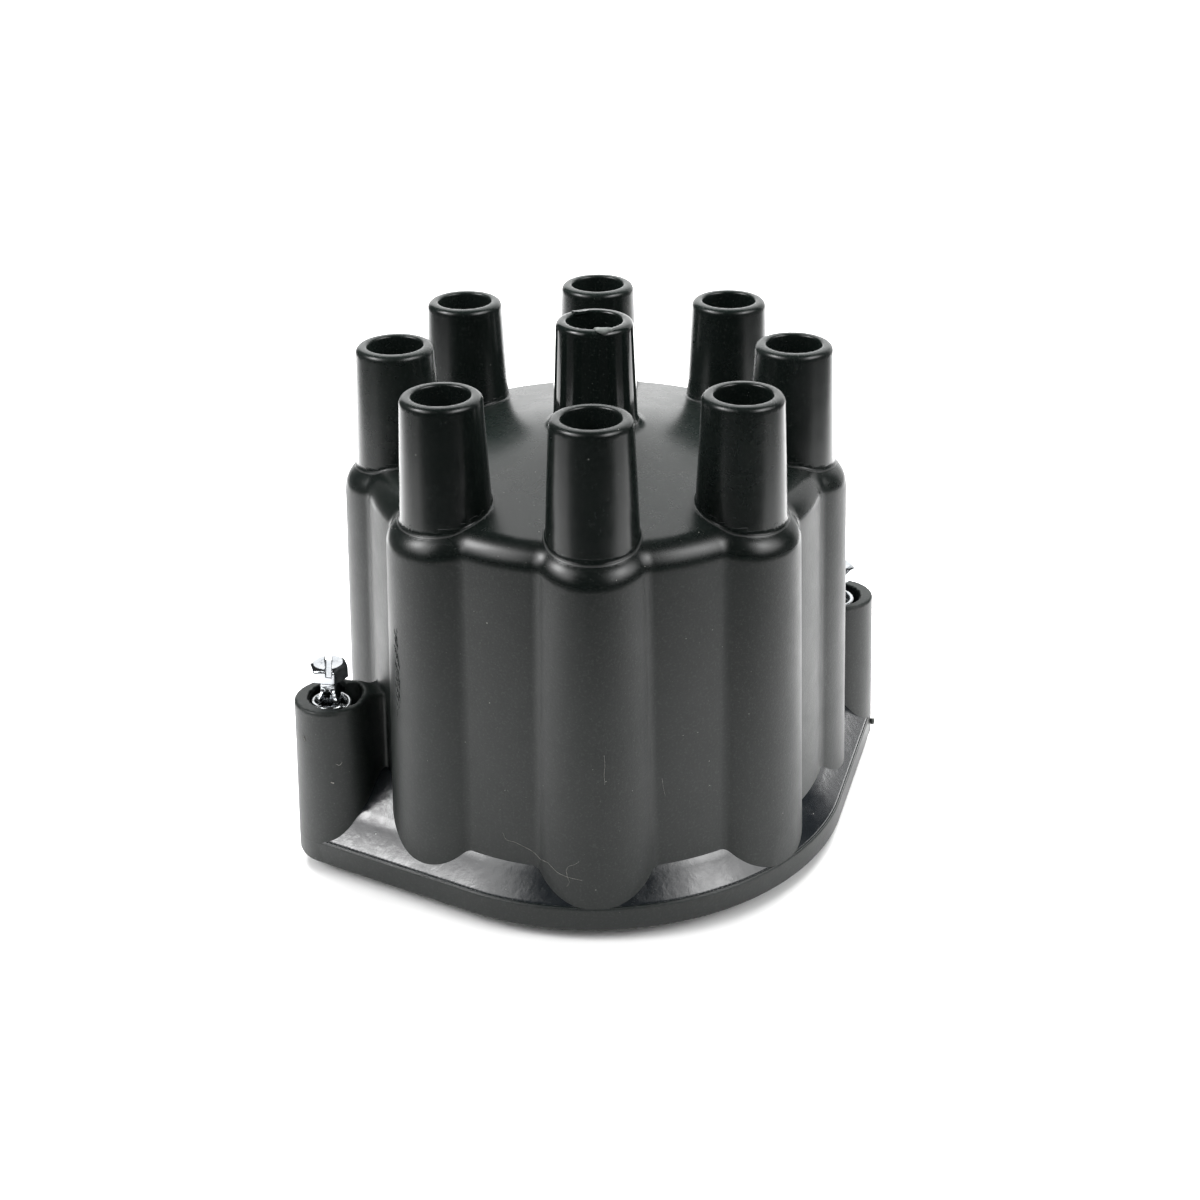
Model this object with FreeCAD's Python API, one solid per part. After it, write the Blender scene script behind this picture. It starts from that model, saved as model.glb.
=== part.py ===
import FreeCAD, Part
import math
import os

V = FreeCAD.Vector

# ---------------------------------------------------------------------------
# Eight-lead screw-down distributor cap. Millimetres. +Z up along the cap's
# axis, z = 0 on the flange underside (the face that seats on the housing).
# ---------------------------------------------------------------------------

# lead towers
N_LEADS = 8
LEAD_PCR = 38.1          # pitch circle radius of the lead towers
TOWER_TOP = 98.1         # height of the eight outer towers
TOWER_R_TOP = 7.45       # outside radius at the top (before the lip)
TOWER_DRAFT = 0.0466     # radius growth per mm downwards
TOWER_LIP = 1.15         # rounding of the outside lip
TOWER_MOUTH = 0.45       # rounding of the socket's mouth
SOCKET_R_TOP = 5.30      # moulded socket, radius at the mouth
SOCKET_R_CUP = 5.10      # moulded socket, radius where the metal cup starts
COIL_TOP = 103.0         # height of the centre tower
COIL_R_TOP = 7.40
COIL_DRAFT = 0.0430

# fluted body: one half-round flute under each outer tower
FLUTE_R = 11.18          # flute radius at FLUTE_Z
FLUTE_Z = 70.0
FLUTE_DRAFT = 0.0346
WALL_R = 44.56           # wall between the flutes at WALL_Z
WALL_Z = 74.0
WALL_DRAFT = 0.035
VALLEY_R = 3.0           # concave blend between flute and wall
SHOULDER_R = 4.2         # rounding all round the top edge
# top surface, radius against height
DOME = [(0.0, 82.9), (8.3, 82.15), (20.0, 79.9), (31.4, 77.5), (38.1, 76.1), (46.6, 74.3), (56.0, 72.2)]

# flange
FLANGE_R = 51.5
FLANGE_T = 4.92
FLANGE_EDGE = 0.35
COVE_R = 44.0            # concave run-up from the flange edge to the wall
COVE_OUT = 31.8          # the cove's centre is this far outside the edge
COVE_Z = 35.2            # and this high
COVE_IN = 4.6            # its arc ends at the wall; a straight slope goes on behind the ears
COVE_DEEP = 12.6
COVE_TOP = 17.28

# register spigot under the flange, with a locating notch
SPIGOT_R = 45.0
SPIGOT_DEPTH = 2.6
NOTCH_AZ = 112.5
NOTCH_W = 6.0

# hold-down ears
EAR_AZ = 22.5
EAR_PCR = 54.97
EAR_TOP = 33.7
EAR_OUT = 55.85          # the ears' round outsides stand a little further out than their holes
EAR_R_TOP = 7.1
EAR_DRAFT = 0.0386
EAR_R_FLANGE = 8.25
EAR_LIP = 0.5
NECK_HALF = 3.0          # the neck between an ear and the wall
NECK_DRAFT = 0.03
EAR_COUNTERBORE_R = 5.2
EAR_FLOOR = 9.0
EAR_GUIDE_R = 3.05       # the latch screws sit loose in their holes

# inside
MOUTH_R = 40.9           # at the open end
MOUTH_R_IN = 40.2        # at the ledge
LEDGE_Z = 34.0
CHAMBER_R = 36.2
CHAMBER_R_IN = 35.9
CEILING_Z_OUT = 69.5     # ceiling height at the chamber wall
CEILING_Z_IN = 75.0      # ceiling height at the centre boss
BOSS_R = 6.4
BOSS_Z = 64.0

# lead terminals
CUP_IN_R = 4.40
CUP_R_BOTTOM = 4.95
CUP_TOP = 88.0
CUP_FLOOR_TOP = 77.0
CUP_BOTTOM = 75.2
LEG_PCR = 35.2
LEG_R = 1.9
LEG_BOTTOM = 47.5
# centre terminal
C_CUP_TOP = 93.0
C_CUP_FLOOR_TOP = 82.0
C_CUP_BOTTOM = 80.2
C_STEM_R = 2.1
C_STEM_BOTTOM = 72.0
# centre contact
GUIDE_R = 2.60
BUTTON_R = 2.53
BUTTON_BOTTOM = 60.3
BUTTON_TOP = 68.4
BUTTON_SPRING_R = 2.1
BUTTON_SPRING_WIRE = 0.35
BUTTON_TRAVEL = 1.5

# hold-down latches
SHANK_R = 1.95
HEAD_UNDER = 37.7
HEAD_TOP = 40.9
HEAD_ACROSS_FLATS = 6.85
COLLAR_R = 3.4
COLLAR_T = 0.6
SLOT_W = 1.2
SLOT_D = 1.45
SLOT_DIR = 108.0         # slot against the hexagon's first corner, degrees
SPRING_OD = 8.26
SPRING_WIRE = 1.2
SPRING_TOP = 33.2
WING_SPAN = 6.9
WING_T = 0.85
WING_H = 2.6
WING_DIRS = (-55.0, -120.0)
LATCH_TURN = (-8.0, -10.0)              # how each screw happens to be turned, right and left
LATCH_SHIFT = ((0.0, 0.0), (-0.95, 0.0))  # how far each screw stands off its ear's axis
HOOK_SIDE = (1, -1)                     # which way along the edge each released hook points
HOOK_T = 1.5
HOOK_TOP = -0.25
HOOK_REACH = 8.4
HOOK_W = 7.0
PRESS_TRAVEL = 6.0


# ---------------------------------------------------------------------------
# helpers
# ---------------------------------------------------------------------------
def pol(r, deg, z=0.0):
    a = math.radians(deg)
    return V(r * math.cos(a), r * math.sin(a), z)


def lathe(profile, centre=(0.0, 0.0)):
    """Solid of revolution about a vertical axis. profile is a list of (r, z) points, where a
    point may be ('arc', (r, z) on the arc, (r, z) at its end)."""
    edges = []
    here = profile[0]
    first = here
    for p in profile[1:]:
        if p[0] == "arc":
            mid, end = p[1], p[2]
            edges.append(Part.Arc(V(here[0], 0, here[1]), V(mid[0], 0, mid[1]), V(end[0], 0, end[1])).toShape())
            here = end
        else:
            edges.append(Part.LineSegment(V(here[0], 0, here[1]), V(p[0], 0, p[1])).toShape())
            here = p
    if abs(here[0] - first[0]) > 1e-9 or abs(here[1] - first[1]) > 1e-9:
        edges.append(Part.LineSegment(V(here[0], 0, here[1]), V(first[0], 0, first[1])).toShape())
    face = Part.Face(Part.Wire(edges))
    solid = face.revolve(V(0, 0, 0), V(0, 0, 1), 360)
    if solid.Volume < 0:
        solid.reverse()
    solid.translate(V(centre[0], centre[1], 0))
    return solid


def round_corner(corner, before, after, radius):
    """Start, middle and end of the arc that rounds the corner between two straight runs."""
    ax, ay = before[0] - corner[0], before[1] - corner[1]
    bx, by = after[0] - corner[0], after[1] - corner[1]
    la, lb = math.hypot(ax, ay), math.hypot(bx, by)
    ax, ay, bx, by = ax / la, ay / la, bx / lb, by / lb
    half = math.acos(max(-1.0, min(1.0, ax * bx + ay * by))) / 2
    t = radius / math.tan(half)
    cx, cy = ax + bx, ay + by
    lc = math.hypot(cx, cy)
    cx, cy = cx / lc, cy / lc
    d = radius / math.sin(half)
    mid = (corner[0] + cx * (d - radius), corner[1] + cy * (d - radius))
    return (corner[0] + ax * t, corner[1] + ay * t), mid, (corner[0] + bx * t, corner[1] + by * t)


def tower(top, r_top, draft, bottom, lip, centre=(0.0, 0.0)):
    r_bottom = r_top + draft * (top - bottom)
    a, m, b = round_corner((r_top, top), (r_bottom, bottom), (0.0, top), lip)
    return lathe([(0, bottom), (r_bottom, bottom), a, ("arc", m, b), (0, top)], centre)


def socket(top, cup_top, r_top, r_cup, mouth, centre=(0.0, 0.0)):
    """The tapered socket above a terminal's cup, with its rounded mouth (a tool to cut with)."""
    a, m, b = round_corner((r_top, top), (r_cup, cup_top), (r_top + 5, top), mouth)
    return lathe([(0, cup_top), (r_cup, cup_top), a, ("arc", m, b), (b[0], top + 1), (0, top + 1)], centre)


def flute_r(z):
    return FLUTE_R + FLUTE_DRAFT * (FLUTE_Z - z)


def wall_r(z):
    return WALL_R + WALL_DRAFT * (WALL_Z - z)


def outline(z, rf=None, rw=None, rv=None):
    """The body's fluted outline at height z: flute arc, concave blend, wall arc, concave blend."""
    rf = flute_r(z) if rf is None else rf
    rw = wall_r(z) if rw is None else rw
    rv = VALLEY_R if rv is None else rv
    a, b = rw + rv, rf + rv
    x = (a * a - b * b + LEAD_PCR * LEAD_PCR) / (2 * LEAD_PCR)
    y = math.sqrt(a * a - x * x)
    on_flute = (LEAD_PCR + rf * (x - LEAD_PCR) / b, rf * y / b)
    on_wall = (rw * x / a, rw * y / a)
    dx, dy = x, y
    # middle of the concave arc: from the blend's centre towards the valley
    d1 = (on_flute[0] - dx, on_flute[1] - dy)
    d2 = (on_wall[0] - dx, on_wall[1] - dy)
    s = (d1[0] + d2[0], d1[1] + d2[1])
    n = math.hypot(*s)
    mid = (dx + rv * s[0] / n, dy + rv * s[1] / n)

    def place(p, deg, mirror=False):
        px, py = p[0], -p[1] if mirror else p[1]
        c, sn = math.cos(math.radians(deg)), math.sin(math.radians(deg))
        return V(px * c - py * sn, px * sn + py * c, z)

    edges = []
    step = 360.0 / N_LEADS
    for k in range(N_LEADS):
        d = k * step
        edges.append(Part.Arc(place(on_flute, d, True), place((LEAD_PCR + rf, 0), d), place(on_flute, d)).toShape())
        edges.append(Part.Arc(place(on_flute, d), place(mid, d), place(on_wall, d)).toShape())
        edges.append(Part.Arc(place(on_wall, d), pol(rw, d + step / 2, z), place(on_wall, d + step, True)).toShape())
        edges.append(Part.Arc(place(on_wall, d + step, True), place(mid, d + step, True), place(on_flute, d + step, True)).toShape())
    return Part.Wire(edges)


def ear_xy(k, r=EAR_PCR):
    p = pol(r, EAR_AZ + 180 * k)
    return p.x, p.y


def hull_wire(R, re, le, z):
    """Convex outline round the flange circle and the two ear circles."""
    th = math.degrees(math.acos((R - re) / le))
    edges = []
    for k in (0, 1):
        a = EAR_AZ + 180 * k
        c = pol(le, a, z)
        p0, pm, p1 = c + pol(re, a - th), c + pol(re, a), c + pol(re, a + th)
        edges.append(Part.Arc(p0, pm, p1).toShape())
        q0 = pol(R, a + th, z)
        q1 = pol(R, a + 180 - th, z)
        edges.append(Part.LineSegment(p1, q0).toShape())
        edges.append(Part.Arc(q0, pol(R, a + 90, z), q1).toShape())
        nxt = pol(le, a + 180, z) + pol(re, a + 180 - th)
        edges.append(Part.LineSegment(q1, nxt).toShape())
    return Part.Wire(edges)


def fuse_all(base, tools):
    out = base
    for t in tools:
        out = out.fuse(t)
    return out


def one_solid(shape, name):
    shape = shape.removeSplitter()
    solids = shape.Solids
    if len(solids) != 1:
        print("WARNING", name, "has", len(solids), "solids", [round(s.Volume, 3) for s in solids])
        solids = [max(solids, key=lambda s: s.Volume)]
    s = solids[0]
    print(name, "valid", s.isValid(), "volume", round(s.Volume, 1))
    return s


# ---------------------------------------------------------------------------
# cap body, one black moulding
# ---------------------------------------------------------------------------
def lead_terminal():
    """Lead terminal on the +X axis: a cup for the lead's end, and a leg inside the chamber."""
    cup = lathe([(0, CUP_BOTTOM), (CUP_R_BOTTOM, CUP_BOTTOM), (SOCKET_R_CUP, CUP_TOP), (0, CUP_TOP)], (LEAD_PCR, 0))
    leg = lathe([(0, LEG_BOTTOM), (LEG_R - 0.6, LEG_BOTTOM), ("arc", (LEG_R - 0.6 + 0.6 * 0.7071, LEG_BOTTOM + 0.6 - 0.6 * 0.7071), (LEG_R, LEG_BOTTOM + 0.6)),
                 (LEG_R, CUP_BOTTOM + 0.5), (0, CUP_BOTTOM + 0.5)], (LEG_PCR, 0))
    return cup.fuse(leg)


def lead_cup_hole():
    return lathe([(0, CUP_FLOOR_TOP), (CUP_IN_R, CUP_FLOOR_TOP), (CUP_IN_R, CUP_TOP - 0.25), (CUP_IN_R + 0.25, CUP_TOP), (0, CUP_TOP)], (LEAD_PCR, 0))


def centre_terminal_solid():
    cup = lathe([(0, C_CUP_BOTTOM), (CUP_R_BOTTOM, C_CUP_BOTTOM), (SOCKET_R_CUP, C_CUP_TOP), (0, C_CUP_TOP)])
    stem = lathe([(0, C_STEM_BOTTOM), (C_STEM_R, C_STEM_BOTTOM), (C_STEM_R, C_CUP_BOTTOM + 0.5), (0, C_CUP_BOTTOM + 0.5)])
    return cup.fuse(stem)


def centre_cup_hole():
    return lathe([(0, C_CUP_FLOOR_TOP), (CUP_IN_R, C_CUP_FLOOR_TOP), (CUP_IN_R, C_CUP_TOP - 0.25), (CUP_IN_R + 0.25, C_CUP_TOP), (0, C_CUP_TOP)])


def spin(shape, deg):
    s = shape.copy()
    s.rotate(V(0, 0, 0), V(0, 0, 1), deg)
    return s


def make_cap_body():
    # fluted body, drafted
    body = Part.makeLoft([outline(-0.0), outline(88.0)], True, True)
    # below the dome
    spline = Part.BSplineCurve()
    spline.interpolate([V(r, 0, z) for r, z in DOME], InitialTangent=V(1, 0, 0), FinalTangent=V(1, 0, -0.235))
    dome = Part.Wire([
        spline.toShape(),
        Part.LineSegment(V(DOME[-1][0], 0, DOME[-1][1]), V(DOME[-1][0], 0, -1)).toShape(),
        Part.LineSegment(V(DOME[-1][0], 0, -1), V(0, 0, -1)).toShape(),
        Part.LineSegment(V(0, 0, -1), V(0, 0, DOME[0][1])).toShape(),
    ])
    below = Part.Face(dome).revolve(V(0, 0, 0), V(0, 0, 1), 360)
    if below.Volume < 0:
        below.reverse()
    body = body.common(below).Solids[0]
    top = [f for f in body.Faces if f.BoundBox.ZMin > 65]
    edges = []
    for f in top:
        for e in f.OuterWire.Edges:
            m = e.valueAt((e.FirstParameter + e.LastParameter) / 2)
            if math.hypot(m.x, m.y) > 40:
                edges.append(e)
    print("top faces", len(top), "shoulder edges", len(edges))
    body = body.makeFillet(SHOULDER_R, edges)
    print("shoulder", body.isValid(), round(body.Volume, 1))

    # flange plate
    re0 = EAR_R_FLANGE
    plate = Part.Face(hull_wire(FLANGE_R, re0, EAR_OUT, 0)).extrude(V(0, 0, FLANGE_T))
    rim = [e for e in plate.Edges if abs(e.BoundBox.ZMax - e.BoundBox.ZMin) < 1e-6]
    plate = plate.makeFillet(FLANGE_EDGE, rim)

    # cove from the flange's edge up to the wall: turned round the circle, and straight along
    # the four sides that run out to the ears
    edge_in = FLANGE_EDGE

    def cove_z(d):
        return COVE_Z - math.sqrt(COVE_R ** 2 - (d + COVE_OUT) ** 2)

    def cove_profile(place):
        p0, pm, p1 = [place(d, cove_z(d)) for d in (edge_in, 2.6, COVE_IN)]
        deep, top = COVE_DEEP + 2.0, COVE_TOP
        return Part.Face(Part.Wire([
            Part.Arc(p0, pm, p1).toShape(),
            Part.LineSegment(p1, place(COVE_DEEP, top)).toShape(),
            Part.LineSegment(place(COVE_DEEP, top), place(deep, top)).toShape(),
            Part.LineSegment(place(deep, top), place(deep, 1.0)).toShape(),
            Part.LineSegment(place(deep, 1.0), place(edge_in, 1.0)).toShape(),
            Part.LineSegment(place(edge_in, 1.0), p0).toShape(),
        ]))

    ring = cove_profile(lambda d, z: V(FLANGE_R - d, 0, z)).revolve(V(0, 0, 0), V(0, 0, 1), 360)
    if ring.Volume < 0:
        ring.reverse()
    th = math.degrees(math.acos((FLANGE_R - re0) / EAR_OUT))
    straight = EAR_OUT * math.sin(math.radians(th))
    sides = []
    for k in (0, 1):
        for s in (-1, 1):
            n = EAR_AZ + 180 * k + s * th
            out = pol(1, n)
            along = pol(1, n - s * 90)
            f = cove_profile(lambda d, z: out * (FLANGE_R - d) + V(0, 0, z))
            sides.append(f.extrude(along * straight))

    # ears
    ears = []
    for k in (0, 1):
        c = ear_xy(k, EAR_OUT)
        ears.append(tower(EAR_TOP, EAR_R_TOP, EAR_DRAFT, 0.0, EAR_LIP, c))
        # neck between the ear and the wall
        a = EAR_AZ + 180 * k
        web_top = EAR_TOP - 0.35
        wires = []
        for z in (FLANGE_T - 2.0, web_top):
            half = NECK_HALF + NECK_DRAFT * (web_top - z)
            out, side = pol(1, a), pol(1, a + 90)
            pts = [out * (EAR_OUT - 3) + side * half, out * 41.0 + side * half, out * 41.0 - side * half, out * (EAR_OUT - 3) - side * half]
            pts = [p + V(0, 0, z) for p in pts]
            wires.append(Part.makePolygon(pts + [pts[0]]))
        ears.append(Part.makeLoft(wires, True, True))

    # towers
    towers = []
    for k in range(N_LEADS):
        p = pol(LEAD_PCR, k * 360.0 / N_LEADS)
        towers.append(tower(TOWER_TOP, TOWER_R_TOP, TOWER_DRAFT, 71.0, TOWER_LIP, (p.x, p.y)))
    towers.append(tower(COIL_TOP, COIL_R_TOP, COIL_DRAFT, 72.0, TOWER_LIP))

    # spigot
    spigot = lathe([(0, -SPIGOT_DEPTH), (SPIGOT_R - 0.4, -SPIGOT_DEPTH), (SPIGOT_R, -SPIGOT_DEPTH + 0.4), (SPIGOT_R, 1.0), (0, 1.0)])

    solid = fuse_all(body, [plate, ring] + sides + ears + towers + [spigot])

    # chamber
    a1, m1, b1 = round_corner((CHAMBER_R_IN, CEILING_Z_OUT), (CHAMBER_R, LEDGE_Z), (BOSS_R, CEILING_Z_IN), 3.0)
    a2, m2, b2 = round_corner((BOSS_R + 0.35, CEILING_Z_IN), (CHAMBER_R_IN, CEILING_Z_OUT), (BOSS_R, BOSS_Z), 1.6)
    chamber = lathe([
        (0, -SPIGOT_DEPTH - 1), (MOUTH_R + 1.3, -SPIGOT_DEPTH - 1), (MOUTH_R + 0.3, -SPIGOT_DEPTH), (MOUTH_R, -SPIGOT_DEPTH + 0.6),
        (MOUTH_R_IN, LEDGE_Z - 1.0), (MOUTH_R_IN - 1.0, LEDGE_Z), (CHAMBER_R + 0.5, LEDGE_Z), (CHAMBER_R, LEDGE_Z + 0.5),
        a1, ("arc", m1, b1), a2, ("arc", m2, b2), (BOSS_R, BOSS_Z + 0.5), (BOSS_R - 0.5, BOSS_Z), (0, BOSS_Z)])
    cuts = [chamber]
    guide = lathe([(0, BOSS_Z - 1), (GUIDE_R + 0.3, BOSS_Z - 1), (GUIDE_R + 0.3, BOSS_Z), (GUIDE_R, BOSS_Z + 0.3), (GUIDE_R, C_STEM_BOTTOM), (0, C_STEM_BOTTOM)])
    cuts.append(guide)
    cuts.append(centre_terminal_solid())
    cuts.append(socket(COIL_TOP, C_CUP_TOP, SOCKET_R_TOP, SOCKET_R_CUP, TOWER_MOUTH))
    t = lead_terminal()
    for k in range(N_LEADS):
        d = k * 360.0 / N_LEADS
        cuts.append(spin(t, d))
        p = pol(LEAD_PCR, d)
        cuts.append(socket(TOWER_TOP, CUP_TOP, SOCKET_R_TOP, SOCKET_R_CUP, TOWER_MOUTH, (p.x, p.y)))
    for k in (0, 1):
        c = ear_xy(k)
        cuts.append(socket(EAR_TOP, EAR_FLOOR, EAR_COUNTERBORE_R, EAR_COUNTERBORE_R, 0.25, c))
        cuts.append(Part.makeCylinder(EAR_GUIDE_R, EAR_FLOOR + 6, V(c[0], c[1], -3)))
    notch = Part.makeBox(10, NOTCH_W, SPIGOT_DEPTH + 1, V(MOUTH_R - 3, -NOTCH_W / 2, -SPIGOT_DEPTH - 1))
    cuts.append(spin(notch, NOTCH_AZ))
    for c in cuts:
        solid = solid.cut(c)
    return one_solid(solid, "cap_body")


# ---------------------------------------------------------------------------
# latch: slotted hex washer head on a shank with pinched wings, spring, hook plate
# ---------------------------------------------------------------------------
def make_latch(k):
    ex, ey = ear_xy(k)
    cx, cy = ex + LATCH_SHIFT[k][0], ey + LATCH_SHIFT[k][1]
    az = EAR_AZ + 180 * k
    # head
    r = HEAD_ACROSS_FLATS / 2 / math.cos(math.radians(30))
    pts = [pol(r, 60 * i, HEAD_UNDER + COLLAR_T - 0.1) for i in range(6)]
    hexa = Part.Face(Part.makePolygon(pts + [pts[0]])).extrude(V(0, 0, HEAD_TOP - HEAD_UNDER - COLLAR_T + 0.1))
    crown = lathe([(0, HEAD_UNDER - 1), (r + 1, HEAD_UNDER - 1), (r + 1, HEAD_TOP - 0.95), (r - 0.6, HEAD_TOP), (0, HEAD_TOP)])
    hexa = hexa.common(crown)
    collar = lathe([(0, HEAD_UNDER), (COLLAR_R - 0.15, HEAD_UNDER), (COLLAR_R, HEAD_UNDER + 0.15), (COLLAR_R, HEAD_UNDER + COLLAR_T - 0.2), (COLLAR_R - 0.3, HEAD_UNDER + COLLAR_T), (0, HEAD_UNDER + COLLAR_T)])
    shank = lathe([(0, HOOK_TOP - HOOK_T), (1.45, HOOK_TOP - HOOK_T), (1.45, HOOK_TOP), (SHANK_R, HOOK_TOP), (SHANK_R, HEAD_UNDER + 0.2), (0, HEAD_UNDER + 0.2)])
    screw = hexa.fuse(collar).fuse(shank)
    # wings pinched out of the shank, resting on the spring
    h = WING_SPAN / 2
    for d in WING_DIRS:
        wing = Part.makePolygon([V(-h, 0, SPRING_TOP), V(-h, 0, SPRING_TOP + 0.7), V(-SHANK_R + 0.3, 0, SPRING_TOP + WING_H),
                                 V(SHANK_R - 0.3, 0, SPRING_TOP + WING_H), V(h, 0, SPRING_TOP + 0.7), V(h, 0, SPRING_TOP), V(-h, 0, SPRING_TOP)])
        wing = Part.Face(wing).extrude(V(0, WING_T, 0))
        wing.translate(V(0, -WING_T / 2, 0))
        screw = screw.fuse(spin(wing, d))
    slot = Part.makeBox(12, SLOT_W, SLOT_D + 1, V(-6, -SLOT_W / 2, HEAD_TOP - SLOT_D))
    screw = screw.cut(spin(slot, SLOT_DIR))
    screw = one_solid(screw, "latch_screw")
    screw.rotate(V(0, 0, 0), V(0, 0, 1), LATCH_TURN[k])
    screw.translate(V(cx, cy, 0))

    # spring envelope: the coil's outside and inside diameters, full length
    ro, ri = SPRING_OD / 2, SPRING_OD / 2 - SPRING_WIRE
    spring = Part.makeCylinder(ro, SPRING_TOP - EAR_FLOOR, V(cx, cy, EAR_FLOOR)).cut(Part.makeCylinder(ri, SPRING_TOP - EAR_FLOOR, V(cx, cy, EAR_FLOOR)))

    # hook plate staked to the shank's foot, pointing along the flange edge (released)
    w = HOOK_W / 2
    s = HOOK_SIDE[k]
    pts = [V(-w, -w * s, 0), V(w, -w * s, 0), V(w, HOOK_REACH * s, 0), V(-w, HOOK_REACH * s, 0)]
    pl = Part.Face(Part.makePolygon(pts + [pts[0]])).extrude(V(0, 0, HOOK_T))
    if pl.Volume < 0:
        pl.reverse()
    pl = pl.makeFillet(1.8, [e for e in pl.Edges if abs(e.BoundBox.ZMax - e.BoundBox.ZMin - HOOK_T) < 1e-6])
    pl = pl.makeFillet(0.25, [e for e in pl.Edges if abs(e.BoundBox.ZMax - e.BoundBox.ZMin) < 1e-6])
    pl.translate(V(0, 0, HOOK_TOP - HOOK_T))
    pl = pl.cut(Part.makeCylinder(1.45, HOOK_T + 2, V(0, 0, HOOK_TOP - HOOK_T - 1)))
    pl = one_solid(pl, "latch_hook")
    pl.rotate(V(0, 0, 0), V(0, 0, 1), az)
    pl.translate(V(cx, cy, 0))
    return screw, spring, pl


def main():
    os.makedirs("parts", exist_ok=True)
    parts = {"cap_body": make_cap_body()}
    t = lead_terminal().cut(lead_cup_hole())
    t = one_solid(t, "terminal")
    for k in range(N_LEADS):
        parts["terminal_%d" % (k + 1)] = spin(t, k * 360.0 / N_LEADS)
    parts["centre_terminal"] = one_solid(centre_terminal_solid().cut(centre_cup_hole()), "centre_terminal")
    parts["carbon_button"] = lathe([(0, BUTTON_BOTTOM), (BUTTON_R - 1.2, BUTTON_BOTTOM), ("arc", (BUTTON_R - 1.2 + 1.2 * 0.7071, BUTTON_BOTTOM + 1.2 - 1.2 * 0.7071), (BUTTON_R, BUTTON_BOTTOM + 1.2)),
                                   (BUTTON_R, BUTTON_TOP - 0.2), (BUTTON_R - 0.2, BUTTON_TOP), (0, BUTTON_TOP)])
    rs = BUTTON_SPRING_R
    parts["button_spring"] = Part.makeCylinder(rs, C_STEM_BOTTOM - BUTTON_TOP, V(0, 0, BUTTON_TOP)).cut(Part.makeCylinder(rs - BUTTON_SPRING_WIRE, C_STEM_BOTTOM - BUTTON_TOP, V(0, 0, BUTTON_TOP)))
    for k, side in ((0, "right"), (1, "left")):
        screw, spring, hook = make_latch(k)
        parts["latch_screw_" + side] = screw
        parts["latch_spring_" + side] = spring
        parts["latch_hook_" + side] = hook
    for name, shape in parts.items():
        s = shape.Solids[0]
        if s.Volume < 0:
            s.reverse()
        s.exportStep("parts/%s.step" % name)
        b = s.BoundBox
        print("%-20s valid %s vol %.1f  x %.2f..%.2f y %.2f..%.2f z %.2f..%.2f" % (name, s.isValid(), s.Volume, b.XMin, b.XMax, b.YMin, b.YMax, b.ZMin, b.ZMax))


main()
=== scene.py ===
import math
import bpy
import bmesh
import numpy as np
from mathutils import Vector, Matrix, noise


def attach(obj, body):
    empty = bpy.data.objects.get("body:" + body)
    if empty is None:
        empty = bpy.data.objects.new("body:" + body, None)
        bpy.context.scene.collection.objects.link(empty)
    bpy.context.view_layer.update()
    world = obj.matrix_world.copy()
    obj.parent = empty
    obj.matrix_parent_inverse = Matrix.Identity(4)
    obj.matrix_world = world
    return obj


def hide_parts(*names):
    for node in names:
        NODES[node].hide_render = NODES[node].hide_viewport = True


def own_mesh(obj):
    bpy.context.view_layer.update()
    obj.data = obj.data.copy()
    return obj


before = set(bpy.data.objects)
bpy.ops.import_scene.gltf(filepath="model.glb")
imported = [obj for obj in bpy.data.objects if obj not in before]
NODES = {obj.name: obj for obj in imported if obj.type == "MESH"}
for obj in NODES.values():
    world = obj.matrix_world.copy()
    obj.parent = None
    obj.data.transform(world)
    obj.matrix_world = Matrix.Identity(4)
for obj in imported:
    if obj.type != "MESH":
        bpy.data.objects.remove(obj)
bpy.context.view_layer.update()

MM = 0.001

# ---------------------------------------------------------------------------
# The moulding's shape as a distance field, in millimetres. It repeats the
# driving sizes of the construction, and adds the small blends of a real
# moulding; its parting lines and flash are drawn further on.
# ---------------------------------------------------------------------------
LEAD_PCR = 38.1
TOWER_TOP, TOWER_R, TOWER_DRAFT, TOWER_LIP, TOWER_MOUTH = 98.1, 7.45, 0.0466, 1.15, 0.5
COIL_TOP, COIL_R, COIL_DRAFT = 103.0, 7.40, 0.0430
FLUTE_R, FLUTE_Z, FLUTE_DRAFT = 11.18, 70.0, 0.0346
WALL_R, WALL_Z, WALL_DRAFT = 44.56, 74.0, 0.035
VALLEY_R, SHOULDER_R = 3.0, 4.2
DOME = [(0.0, 82.9), (8.3, 82.15), (20.0, 79.9), (31.4, 77.5), (38.1, 76.1), (46.6, 74.3), (56.0, 72.2)]
FLANGE_R, FLANGE_T, FLANGE_EDGE = 51.5, 4.92, 0.42
COVE_R, COVE_OUT, COVE_Z, COVE_IN, COVE_DEEP, COVE_TOP = 44.0, 31.8, 35.2, 4.6, 12.6, 17.28
SPIGOT_R, SPIGOT_DEPTH, NOTCH_AZ, NOTCH_W = 45.0, 2.6, 112.5, 6.0
EAR_AZ, EAR_PCR, EAR_OUT, EAR_TOP, EAR_R_TOP, EAR_DRAFT, EAR_LIP = 22.5, 54.97, 55.85, 33.7, 7.1, 0.0386, 0.5
EAR_R_FLANGE, NECK_HALF, NECK_DRAFT, NECK_TOP = 8.25, 3.0, 0.03, 33.35
EAR_COUNTERBORE_R, EAR_FLOOR, EAR_GUIDE_R = 5.2, 9.0, 3.05
MOUTH_R, MOUTH_R_IN, LEDGE_Z = 40.9, 40.2, 34.0
CHAMBER_R, CHAMBER_R_IN, CEILING_Z_OUT, CEILING_Z_IN = 36.2, 35.9, 69.5, 75.0
BOSS_R, BOSS_Z, GUIDE_R, STEM_BOTTOM = 6.4, 64.0, 2.60, 72.0
SOCKET_R_TOP, SOCKET_R_CUP, CUP_R_BOTTOM = 5.30, 5.10, 4.95
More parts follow.
